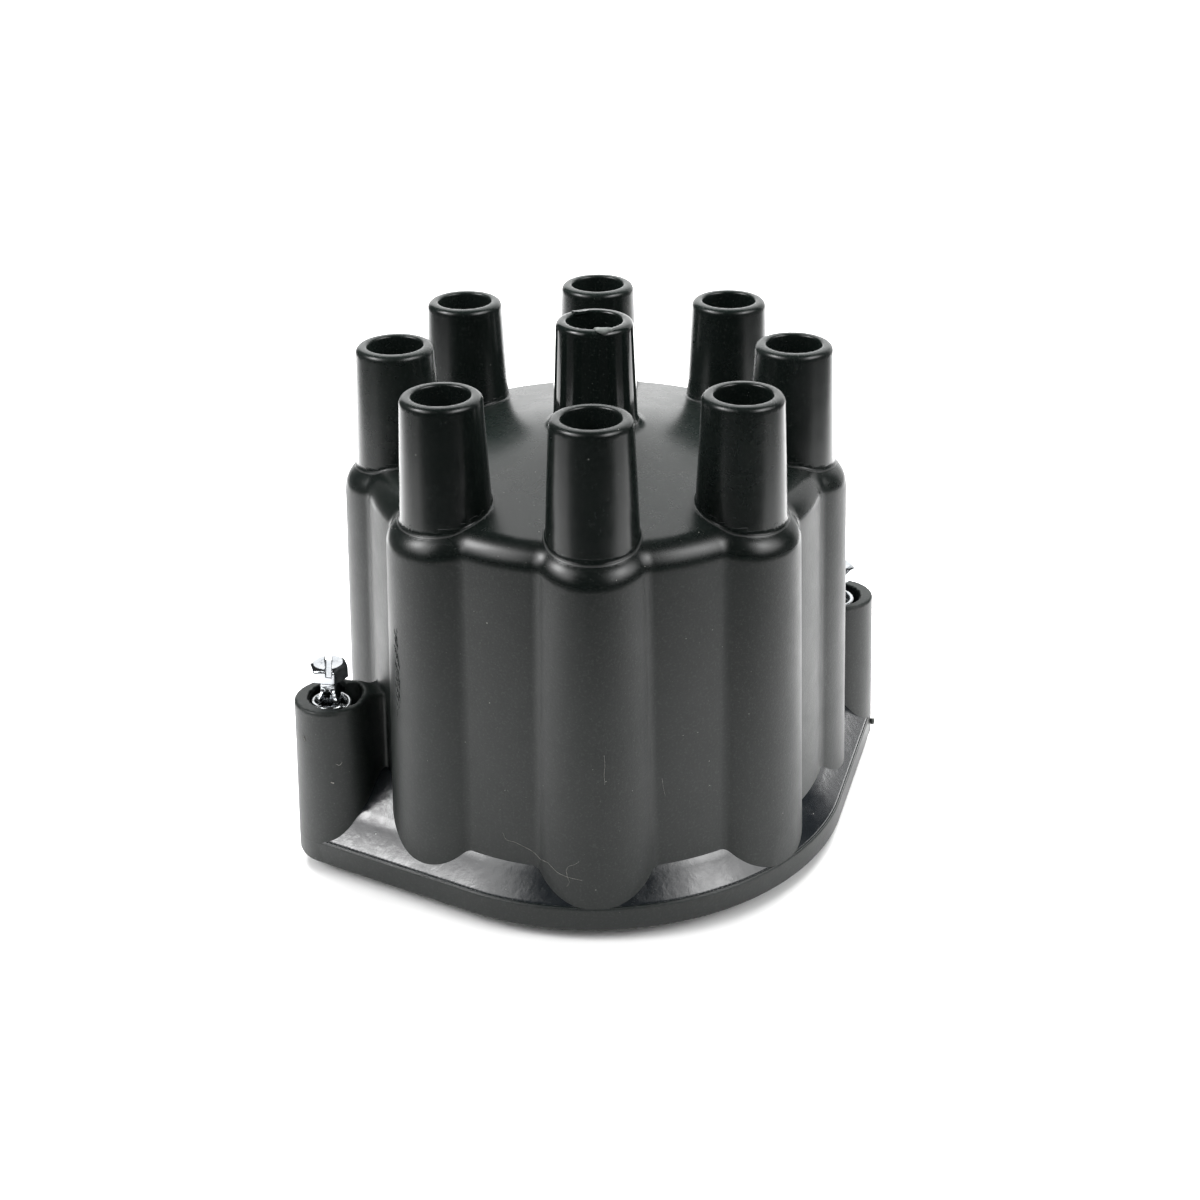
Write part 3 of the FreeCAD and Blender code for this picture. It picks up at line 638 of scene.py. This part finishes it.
def dense(pts, step=0.25):
    """Points along a smooth line through pts."""
    P = np.asarray(pts, float)
    L = np.concatenate([[0], np.cumsum(np.linalg.norm(np.diff(P, axis=0), axis=1))])
    m = max(int(L[-1] / step), 4)
    t = np.linspace(0, L[-1], m + 1)
    Q = np.stack([np.interp(t, L, P[:, a]) for a in range(3)], 1)
    for _ in range(3):
        Q[1:-1] = (Q[:-2] + 2 * Q[1:-1] + Q[2:]) / 4
    return Q


def on_surface(P, lift):
    """Points brought onto the moulding and lifted off it."""
    P = np.asarray(P, float)
    for _ in range(4):
        G = gradient(P)
        P = P - (in_chunks(field, P) / np.maximum((G * G).sum(1), 0.05))[:, None] * G
    G = gradient(P)
    return P + lift * G / np.linalg.norm(G, axis=1)[:, None]


def outline_points(inset, n_arc=150, n_end=24, n_side=60):
    """The flange's outline in the ears' frame, drawn in by inset."""
    R, re = FLANGE_R - inset, EAR_R_FLANGE - inset
    th = math.acos((FLANGE_R - EAR_R_FLANGE) / EAR_OUT)
    pts = []
    for k in (0, 1):
        a0 = math.radians(EAR_AZ + 180 * k)
        c = np.array([EAR_OUT * math.cos(a0), EAR_OUT * math.sin(a0)])
        for t in np.linspace(-th, th, n_end):
            pts.append(c + re * np.array([math.cos(a0 + t), math.sin(a0 + t)]))
        p1 = pts[-1]
        q0 = R * np.array([math.cos(a0 + th), math.sin(a0 + th)])
        for t in np.linspace(0, 1, n_side)[1:-1]:
            pts.append(p1 + (q0 - p1) * t)
        for t in np.linspace(th, math.pi - th, n_arc):
            pts.append(R * np.array([math.cos(a0 + t), math.sin(a0 + t)]))
        q1, nxt = pts[-1], -c + re * np.array([math.cos(a0 + math.pi - th), math.sin(a0 + math.pi - th)])
        for t in np.linspace(0, 1, n_side)[1:-1]:
            pts.append(q1 + (nxt - q1) * t)
    return np.array(pts)


rng = np.random.default_rng(7)
O = outline_points(0.34)
bead = strand("flange_bead", np.c_[O, np.full(len(O), FLANGE_T + 0.02)], 0.17, 8, True)

# torn flash on the centre tower's rim: a smeared patch in front and a broken sliver behind
m = 40
a = np.linspace(0, 2 * math.pi, m, endpoint=False)
wob = 1 + 0.10 * np.sin(3 * a + 0.6) + 0.07 * np.sin(5 * a + 2.1) + rng.uniform(-0.05, 0.05, m)
V, F = [], []
for s, z in ((0.0, COIL_TOP + 0.34), (0.5, COIL_TOP + 0.29), (0.82, COIL_TOP + 0.18), (1.0, COIL_TOP - 0.02), (0.9, COIL_TOP - 0.25)):
    for i in range(m):
        px, py = 1.85 * wob[i] * s * math.cos(a[i]), 1.2 * wob[i] * s * math.sin(a[i])
        x, y = 1.75 + px, -6.12 + py + 0.06 * px * px
        out = max(math.hypot(x, y) - (COIL_R - 0.75), 0.0)
        V.append((x, y, z - 0.42 * out * out + rng.uniform(-0.02, 0.02) * (s > 0)))
for k in range(4):
    for i in range(m):
        F.append((k * m + i, k * m + (i + 1) % m, (k + 1) * m + (i + 1) % m, (k + 1) * m + i))
F.append(tuple(4 * m + i for i in reversed(range(m))))
patch = mesh_object("rim_flash_patch", V, F)
bm = bmesh.new()
bm.from_mesh(patch.data)
bmesh.ops.remove_doubles(bm, verts=bm.verts, dist=1e-7)
bmesh.ops.recalc_face_normals(bm, faces=bm.faces)
bm.to_mesh(patch.data)
bm.free()
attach(patch, "cap")

V, F = [], []
m = 28
for i in range(m):
    t = i / (m - 1)
    g = math.radians(136 - 40 * t)
    hi_z = COIL_TOP + 0.38 * (1 - t) ** 0.7 + 0.04 * math.sin(17 * t) + rng.uniform(-0.03, 0.03)
    ri = SOCKET_R_TOP - 0.15 - 0.45 * math.sin(math.pi * min(t * 1.3, 1)) + rng.uniform(-0.05, 0.05)
    ro = SOCKET_R_TOP + 0.85 - 0.4 * t + rng.uniform(-0.04, 0.04)
    for r, z in ((ri, COIL_TOP - 0.28), (ri + 0.05, hi_z), (ro, hi_z - 0.12), (ro + 0.1, COIL_TOP - 0.2)):
        V.append((r * math.cos(g), r * math.sin(g), z))
for i in range(m - 1):
    for j in range(4):
        F.append((4 * i + j, 4 * i + 4 + j, 4 * i + 4 + (j + 1) % 4, 4 * i + (j + 1) % 4))
F += [(0, 1, 2, 3), (4 * m - 1, 4 * m - 2, 4 * m - 3, 4 * m - 4)]
sliver = mesh_object("rim_flash_sliver", V, F, False)
bm = bmesh.new()
bm.from_mesh(sliver.data)
bmesh.ops.recalc_face_normals(bm, faces=bm.faces)
bm.to_mesh(sliver.data)
bm.free()
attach(sliver, "cap")

# a scuffed seam down the side of one flute, left of the front
seam = []
for k, (dx, z0, z1, r) in enumerate(((-0.55, 54.5, 41.0, 0.13), (-0.2, 52.5, 37.6, 0.16), (0.15, 55.0, 43.5, 0.12), (0.5, 50.0, 39.5, 0.14), (-0.35, 47.5, 36.2, 0.10), (0.3, 46.0, 38.0, 0.12))):
    z = np.arange(z0, z1, -0.4)
    w = 0.16 * np.sin(z * 1.7 + k) + 0.10 * np.sin(z * 3.9 + 2 * k) + rng.uniform(-0.05, 0.05, len(z))
    P = np.c_[-36.6 + 0.6 * (dx + w), -33.9 - 0.8 * (dx + w), z]
    P = on_surface(P, 0.02)
    rr = r * (0.35 + 0.65 * np.abs(np.sin(z * 2.3 + 1.3 * k))) * np.minimum(1, np.minimum(z0 - z, z - z1 + 0.4) / 1.5 + 0.15)
    ob = strand("seam_scuff_%d" % (k + 1), P, np.maximum(rr, 0.02))
    seam.append(ob)

# a stray nub of flash on the end of the right ear
m = 14
V, F = [], []
for i in range(1, 8):
    e = math.pi * i / 8
    for j in range(m):
        g = 2 * math.pi * j / m
        q = 0.66 * (1 + 0.08 * math.sin(2 * g + 3 * e))
        V.append((59.95 + q * math.sin(e) * math.cos(g) * 0.8, 18.7 + q * math.sin(e) * math.sin(g), 3.2 + q * 1.25 * math.cos(e)))
for i in range(6):
    for j in range(m):
        F.append((i * m + j, (i + 1) * m + j, (i + 1) * m + (j + 1) % m, i * m + (j + 1) % m))
F += [tuple(range(m)), tuple(6 * m + j for j in reversed(range(m)))]
nub = mesh_object("ear_nub", V, F)
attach(nub, "cap")

# lint and pale flecks lying on the moulding
lint = []
for k, (pts, r) in enumerate((
        ([(-3.01, -50.83, 15.24), (-3.87, -50.62, 14.35), (-5.08, -50.21, 13.8), (-5.55, -50.04, 12.66), (-5.29, -50.21, 11.35), (-4.86, -50.43, 10.26), (-5.49, -50.2, 9.18)], 0.024),
        ([(-17.5, -43.17, 16.38), (-17.0, -43.42, 15.0), (-15.24, -44.07, 14.96), (-12.47, -44.97, 13.88), (-10.55, -46.01, 12.46), (-8.96, -47.74, 12.9), (-7.21, -49.16, 11.63), (-5.46, -50.13, 11.37), (-2.55, -51.07, 11.19)], 0.028),
        ([(1.75, -50.27, 37.74), (1.91, -50.32, 35.66), (1.71, -50.42, 33.62), (1.87, -50.47, 31.53)], 0.018),
        ([(12.29, -44.47, 29.11), (12.47, -44.48, 27.38), (12.85, -44.44, 25.39)], 0.018),
        ([(-56.59, -26.74, 27.8), (-56.4, -26.9, 27.4), (-56.21, -27.11, 26.9)], 0.075),
        ([(-51.59, -29.05, 18.81), (-51.3, -29.05, 18.7), (-51.02, -29.04, 18.57)], 0.12),
        ([(-50.39, -28.8, 22.73), (-49.67, -28.67, 22.19), (-49.25, -28.51, 22.99)], 0.035))):
    P = on_surface(dense(pts), r * 0.8)
    ob = strand("lint_%d" % (k + 1), P, r * (0.6 + 0.4 * np.sin(np.linspace(0.2, 3.0, len(P)))), 6)
    lint.append(ob)


# ---------------------------------------------------------------------------
# materials
# ---------------------------------------------------------------------------
class Nodes:
    """A short way to write a node tree."""

    def __init__(self, name):
        self.m = bpy.data.materials.new(name)
        self.m.use_nodes = True
        self.t = self.m.node_tree
        self.t.nodes.clear()
        self.out = self.t.nodes.new("ShaderNodeOutputMaterial")
        self.p = self.t.nodes.new("ShaderNodeBsdfPrincipled")
        self.t.links.new(self.p.outputs[0], self.out.inputs[0])
        self.co = self.t.nodes.new("ShaderNodeTexCoord").outputs["Object"]

    def put(self, node, key, v):
        s = node.inputs[key]
        if isinstance(v, bpy.types.NodeSocket):
            self.t.links.new(v, s)
        elif isinstance(v, (tuple, list)) and len(v) == 3 and s.type == "RGBA":
            s.default_value = (*v, 1)
        else:
            s.default_value = v

    def noise(self, scale, detail=3.0, rough=0.55, vec=None, lac=2.0, dist=0.0):
        n = self.t.nodes.new("ShaderNodeTexNoise")
        self.put(n, "Vector", self.co if vec is None else vec)
        self.put(n, "Scale", scale)
        self.put(n, "Detail", detail)
        self.put(n, "Roughness", rough)
        self.put(n, "Distortion", dist)
        return n.outputs[0]

    def voronoi(self, scale, feature="F1", vec=None, out="Distance", rand=1.0):
        n = self.t.nodes.new("ShaderNodeTexVoronoi")
        n.feature = feature
        self.put(n, "Vector", self.co if vec is None else vec)
        self.put(n, "Scale", scale)
        self.put(n, "Randomness", rand)
        return n.outputs[out]

    def stretch(self, sx, sy, sz):
        n = self.t.nodes.new("ShaderNodeMapping")
        self.put(n, "Vector", self.co)
        n.inputs["Scale"].default_value = (sx, sy, sz)
        return n.outputs[0]

    def attr(self, name):
        n = self.t.nodes.new("ShaderNodeAttribute")
        n.attribute_name = name
        return n.outputs["Fac"]

    def math(self, op, a, b=0.0, c=0.0, clamp=False):
        n = self.t.nodes.new("ShaderNodeMath")
        n.operation = op
        n.use_clamp = clamp
        for i, v in enumerate((a, b, c)):
            if isinstance(v, bpy.types.NodeSocket):
                self.t.links.new(v, n.inputs[i])
            else:
                n.inputs[i].default_value = v
        return n.outputs[0]

    def ramp(self, v, a, b, x=0.0, y=1.0, smooth=True):
        n = self.t.nodes.new("ShaderNodeMapRange")
        n.interpolation_type = "SMOOTHSTEP" if smooth else "LINEAR"
        self.put(n, "Value", v)
        for k, q in (("From Min", a), ("From Max", b), ("To Min", x), ("To Max", y)):
            self.put(n, k, q)
        return n.outputs[0]

    def mix(self, f, a, b):
        n = self.t.nodes.new("ShaderNodeMix")
        n.data_type = "FLOAT"
        self.put(n, 0, f)
        self.put(n, 2, a)
        self.put(n, 3, b)
        return n.outputs[0]

    def colour(self, f, a, b):
        n = self.t.nodes.new("ShaderNodeMix")
        n.data_type = "RGBA"
        self.put(n, 0, f)
        for i, v in ((6, a), (7, b)):
            if isinstance(v, bpy.types.NodeSocket):
                self.t.links.new(v, n.inputs[i])
            else:
                n.inputs[i].default_value = (*v, 1)
        return n.outputs[2]

    def bump(self, height, strength, distance, under=None):
        n = self.t.nodes.new("ShaderNodeBump")
        self.put(n, "Strength", strength)
        self.put(n, "Distance", distance)
        self.put(n, "Height", height)
        if under is not None:
            self.put(n, "Normal", under)
        return n.outputs[0]


def black_moulding():
    m = Nodes("black_moulding")
    tower, coil, top, cove, inner = m.attr("tower"), m.attr("coil"), m.attr("top"), m.attr("cove"), m.attr("inside")
    grain = m.noise(4200, 2.0, 0.6)
    cloud = m.noise(38, 3.0, 0.5)
    smear = m.noise(210, 4.0, 0.6, dist=0.6)
    # colour: neutral black, a little greener where satin; sparse pale dust
    base = m.colour(m.ramp(cloud, 0.35, 0.7), (0.0030, 0.0048, 0.0042), (0.0046, 0.0068, 0.0061))
    # the cove's base colour is lighter and bluer: a painted reflection of the bright studio in the polished cove
    base = m.colour(cove, base, (0.009, 0.011, 0.013))
    base = m.colour(m.math("MULTIPLY", m.ramp(m.noise(2300, 2.0, 0.6), 0.50, 0.72), 0.30), base, (0.030, 0.034, 0.031))
    cell = m.voronoi(420)
    pick = m.voronoi(420, out="Color")
    sep = m.t.nodes.new("ShaderNodeSeparateColor")
    m.put(sep, 0, pick)
    size = m.ramp(sep.outputs[0], 0.5, 1.0, 0.0, 0.062, smooth=False)
    dust = m.math("LESS_THAN", cell, size)
    dust = m.math("MULTIPLY", dust, m.ramp(sep.outputs[1], 0.0, 1.0, 0.15, 0.9, smooth=False))
    fine = m.math("GREATER_THAN", m.noise(2600, 1.0, 0.5), 0.79)
    dust = m.math("MAXIMUM", dust, m.math("MULTIPLY", fine, 0.25))
    base = m.colour(m.math("MULTIPLY", dust, 0.55), base, (0.30, 0.30, 0.27))
    # fine ridge round each tower's foot, painted pale: a painted highlight on the ridge
    foot = m.ramp(m.math("ABSOLUTE", m.attr("foot")), 0.05, 0.13, 1.0, 0.0)
    base = m.colour(m.math("MULTIPLY", foot, 0.30), base, (0.10, 0.10, 0.10))
    m.put(m.p, "Base Color", base)
    # finish: satin walls, glossier top and towers, polished cove
    r = m.mix(tower, m.mix(top, 0.46, 0.27), 0.25)
    r = m.mix(inner, r, 0.30)
    r = m.mix(coil, r, 0.08)
    r = m.mix(cove, r, m.ramp(m.noise(260, 4.0, 0.6, dist=0.8), 0.35, 0.65, 0.09, 0.22))
    m.put(m.p, "Specular IOR Level", m.mix(cove, 0.5, 0.66))
    r = m.math("ADD", r, m.ramp(cloud, 0.3, 0.7, -0.03, 0.035, smooth=False))
    r = m.math("ADD", r, m.ramp(smear, 0.35, 0.75, -0.015, 0.03, smooth=False))
    r = m.math("ADD", r, m.math("MULTIPLY", dust, 0.35), clamp=True)
    m.put(m.p, "Roughness", r)
    m.p.inputs["IOR"].default_value = 1.46
    gloss = m.math("MAXIMUM", m.math("MAXIMUM", tower, coil), m.math("MAXIMUM", top, cove))
    n = m.bump(grain, m.mix(gloss, 0.30, 0.03), 0.00006)
    n = m.bump(m.noise(1500, 3.0, 0.65), m.mix(gloss, 0.34, 0.02), 0.00010, n)
    n = m.bump(m.noise(620, 4.0, 0.62, dist=0.4), m.mix(cove, 0.0, 0.34), 0.00012, n)
    n = m.bump(m.noise(55, 2.0, 0.5), 0.06, 0.002, n)
    n = m.bump(foot, 0.5, 0.00008, n)
    m.put(m.p, "Normal", n)
    return m.m


def plated(name, colour, rough, spread, wire=False):
    m = Nodes(name)
    m.p.inputs["Metallic"].default_value = 1.0
    tone = m.noise(900, 4.0, 0.6)
    base = m.colour(m.ramp(tone, 0.3, 0.75), colour, tuple(c * 0.86 for c in colour))
    pits = m.ramp(m.voronoi(2600), 0.0, 0.13, 1.0, 0.0)
    pits = m.math("MULTIPLY", pits, m.ramp(m.noise(500, 2.0), 0.52, 0.66))
    base = m.colour(m.math("MULTIPLY", pits, 0.6), base, tuple(c * 0.35 for c in colour))
    m.put(m.p, "Base Color", base)
    m.put(m.p, "Roughness", m.ramp(m.noise(1500, 3.0, 0.6), 0.3, 0.75, rough, rough + spread, smooth=False))
    n = m.bump(m.noise(1300, 4.0, 0.65), 0.35, 0.00012)
    n = m.bump(m.noise(420, 2.0, 0.5), 0.5, 0.0004, n)
    m.put(m.p, "Normal", n)
    return m.m


def turned_metal(name, colour, dull, rough):
    m = Nodes(name)
    m.p.inputs["Metallic"].default_value = 1.0
    v = m.stretch(1, 1, 14)
    rings = m.noise(420, 4.0, 0.6, vec=v)
    base = m.colour(m.ramp(m.noise(260, 3.0, 0.6), 0.35, 0.7), colour, dull)
    m.put(m.p, "Base Color", base)
    m.put(m.p, "Roughness", m.ramp(rings, 0.3, 0.7, rough, rough + 0.16, smooth=False))
    m.put(m.p, "Normal", m.bump(rings, 0.25, 0.00006))
    return m.m


def carbon():
    m = Nodes("carbon")
    base = m.colour(m.ramp(m.noise(1800, 4.0, 0.7), 0.35, 0.7), (0.018, 0.018, 0.019), (0.05, 0.05, 0.052))
    m.put(m.p, "Base Color", base)
    m.put(m.p, "Roughness", m.ramp(m.noise(900, 3.0), 0.3, 0.7, 0.5, 0.72, smooth=False))
    m.put(m.p, "Normal", m.bump(m.noise(3200, 3.0, 0.7), 0.4, 0.00008))
    return m.m


def plain_resin(name, dark, pale, r0, r1):
    m = Nodes(name)
    m.put(m.p, "Base Color", m.colour(m.ramp(m.noise(1400, 4.0, 0.65), 0.35, 0.7), dark, pale))
    m.put(m.p, "Roughness", m.ramp(m.noise(900, 3.0, 0.6), 0.3, 0.7, r0, r1, smooth=False))
    m.put(m.p, "Normal", m.bump(m.noise(2600, 3.0, 0.65), 0.35, 0.00006))
    return m.m


black = black_moulding()
zinc = plated("bright_zinc", (0.46, 0.48, 0.50), 0.06, 0.10)
wire = plated("spring_wire", (0.50, 0.52, 0.53), 0.12, 0.14)
brass = turned_metal("terminal_brass", (0.72, 0.52, 0.24), (0.50, 0.36, 0.17), 0.24)
soot = carbon()
gloss_black = plain_resin("black_gloss", (0.006, 0.009, 0.008), (0.012, 0.016, 0.015), 0.10, 0.22)
grey_flash = plain_resin("grey_flash", (0.050, 0.056, 0.053), (0.090, 0.096, 0.091), 0.60, 0.80)
lint_mat = plain_resin("lint", (0.16, 0.155, 0.14), (0.30, 0.29, 0.27), 0.70, 0.90)


def paint(ob, mat):
    if not ob.data.materials:
        ob.data.materials.append(None)
    if len(ob.material_slots) == 0:
        ob.data.materials.append(mat)
    for s in ob.material_slots:
        s.material = mat


paint(cap, black)
paint(flange, black)
for s in ("left", "right"):
    paint(screws[s], zinc)
    paint(springs[s], wire)
    paint(NODES["latch_hook_" + s], zinc)
paint(coil_small, wire)
for ob in [bead, sliver] + seam:
    paint(ob, gloss_black)
for ob in (patch, nub):
    paint(ob, grey_flash)
for ob in lint:
    paint(ob, lint_mat)
for k in range(8):
    paint(NODES["terminal_%d" % (k + 1)], brass)
paint(NODES["centre_terminal"], brass)
paint(NODES["carbon_button"], soot)


# ---------------------------------------------------------------------------
# stage, light and camera
# ---------------------------------------------------------------------------
scene = bpy.context.scene
SHEET_EDGE, SHEET_HALF = -165.0, 290.0


def make_floor():
    ob = mesh_object("floor", [(-SHEET_HALF, SHEET_EDGE, -2.63), (SHEET_HALF, SHEET_EDGE, -2.63), (SHEET_HALF, 1600, -2.63), (-SHEET_HALF, 1600, -2.63)], [(0, 1, 2, 3)], False)
    m = bpy.data.materials.new("pale_floor")
    m.use_nodes = True
    t = m.node_tree
    t.nodes.clear()
    out = t.nodes.new("ShaderNodeOutputMaterial")
    d = t.nodes.new("ShaderNodeBsdfDiffuse")
    n = t.nodes.new("ShaderNodeTexNoise")
    n.inputs["Scale"].default_value = 30
    mr = t.nodes.new("ShaderNodeMapRange")
    mr.inputs["To Min"].default_value = 0.86
    mr.inputs["To Max"].default_value = 0.88
    t.links.new(n.outputs[0], mr.inputs["Value"])
    t.links.new(mr.outputs[0], d.inputs["Color"])
    t.links.new(d.outputs[0], out.inputs[0])
    ob.data.materials.append(m)
    return ob


floor = make_floor()


def area(name, loc, target, size, size_y, power, colour=(1, 1, 1)):
    l = bpy.data.lights.new(name, "AREA")
    l.shape = "RECTANGLE"
    l.size, l.size_y = size, size_y
    l.energy = power
    l.color = colour
    ob = bpy.data.objects.new(name, l)
    scene.collection.objects.link(ob)
    ob.location = loc
    ob.rotation_euler = (Vector(target) - Vector(loc)).to_track_quat("-Z", "Y").to_euler()
    return ob


def polar(az, el, d):
    """az from the camera's side, positive to the right."""
    a, e = math.radians(az), math.radians(el)
    return (d * math.sin(a) * math.cos(e), -d * math.cos(a) * math.cos(e), d * math.sin(e) + 0.05)


world = bpy.data.worlds.new("studio")
scene.world = world
world.use_nodes = True
wt = world.node_tree
wt.nodes.clear()
wo = wt.nodes.new("ShaderNodeOutputWorld")
bg = wt.nodes.new("ShaderNodeBackground")
wt.links.new(bg.outputs[0], wo.inputs[0])
tc = wt.nodes.new("ShaderNodeTexCoord")
sp = wt.nodes.new("ShaderNodeSeparateXYZ")
wt.links.new(tc.outputs["Generated"], sp.inputs[0])


def w_range(v, a, b, x, y):
    n = wt.nodes.new("ShaderNodeMapRange")
    n.interpolation_type = "SMOOTHSTEP"
    wt.links.new(v, n.inputs["Value"])
    for k, q in (("From Min", a), ("From Max", b), ("To Min", x), ("To Max", y)):
        n.inputs[k].default_value = q
    return n.outputs[0]


def w_math(op, a, b=0.0):
    n = wt.nodes.new("ShaderNodeMath")
    n.operation = op
    for i, v in enumerate((a, b)):
        if isinstance(v, bpy.types.NodeSocket):
            wt.links.new(v, n.inputs[i])
        else:
            n.inputs[i].default_value = v
    return n.outputs[0]


# azimuth from the front, positive to the right, and elevation, in degrees
AZ = w_math("MULTIPLY", w_math("ARCTAN2", sp.outputs["X"], w_math("MULTIPLY", sp.outputs["Y"], -1.0)), 180 / math.pi)
EL = w_math("MULTIPLY", w_math("ARCSINE", sp.outputs["Z"]), 180 / math.pi)


def panel(az, half, e0, e1, level, soft=10.0, soft_e=10.0):
    """A softbox: a lit patch of the studio with soft edges."""
    d = w_math("ABSOLUTE", w_math("SUBTRACT", AZ, az))
    d = w_math("MINIMUM", d, w_math("SUBTRACT", 360.0, d))
    v = w_range(d, half - soft / 2, half + soft / 2, level, 0.0)
    v = w_math("MULTIPLY", v, w_range(EL, e0 - soft_e / 2, e0 + soft_e / 2, 0.0, 1.0))
    return w_math("MULTIPLY", v, w_range(EL, e1 - soft_e / 2, e1 + soft_e / 2, 1.0, 0.0))


light = w_math("ADD", w_range(w_math("ABSOLUTE", AZ), 40, 80, 0.0, 0.14), 0.04)
light = w_math("MULTIPLY", light, w_range(EL, -2, 6, 1.0, 0.25))
for p in ((-66, 25, 22, 54, 4.4, 24, 18), (-75, 11, 33, 49, 13.0, 11, 9), (61, 25, 20, 52, 4.6, 26, 18), (57, 9, 33, 48, 5.4, 10, 9), (180, 32, -8, 62, 1.9), (136, 13, -8, 62, 1.1)):
    light = w_math("ADD", light, panel(*p))
path = wt.nodes.new("ShaderNodeLightPath")
strength = w_math("MAXIMUM", light, w_math("MULTIPLY", path.outputs["Is Camera Ray"], 1.15))
wt.links.new(strength, bg.inputs["Strength"])
bg.inputs["Color"].default_value = (1, 1, 1, 1)

# light on the white sheet only, from behind and above
sheet = area("sheet_light", (0, 0.16, 0.26), (0, 0.16, 0), 0.42, 0.22, 4.3)
wash = area("sheet_wash", (0, -0.02, 0.5), (0, -0.02, 0), 0.9, 0.8, 2.0)
wash.visible_glossy = False
wash.visible_camera = False
sheet.visible_glossy = False
sheet.visible_camera = False

cam_data = bpy.data.cameras.new("camera")
cam_data.sensor_width = 36.0
cam_data.sensor_fit = "AUTO"
cam_data.lens = 56.158
cam_data.shift_x, cam_data.shift_y = -0.04208, -0.0806
cam_data.clip_start, cam_data.clip_end = 0.01, 20
cam = bpy.data.objects.new("camera", cam_data)
scene.collection.objects.link(cam)
cam.location = (0.00687, -0.33849, 0.21680)
cam.rotation_euler = (math.radians(65.8), 0, math.radians(-0.642))
scene.camera = cam
scene.view_settings.view_transform = "Standard"
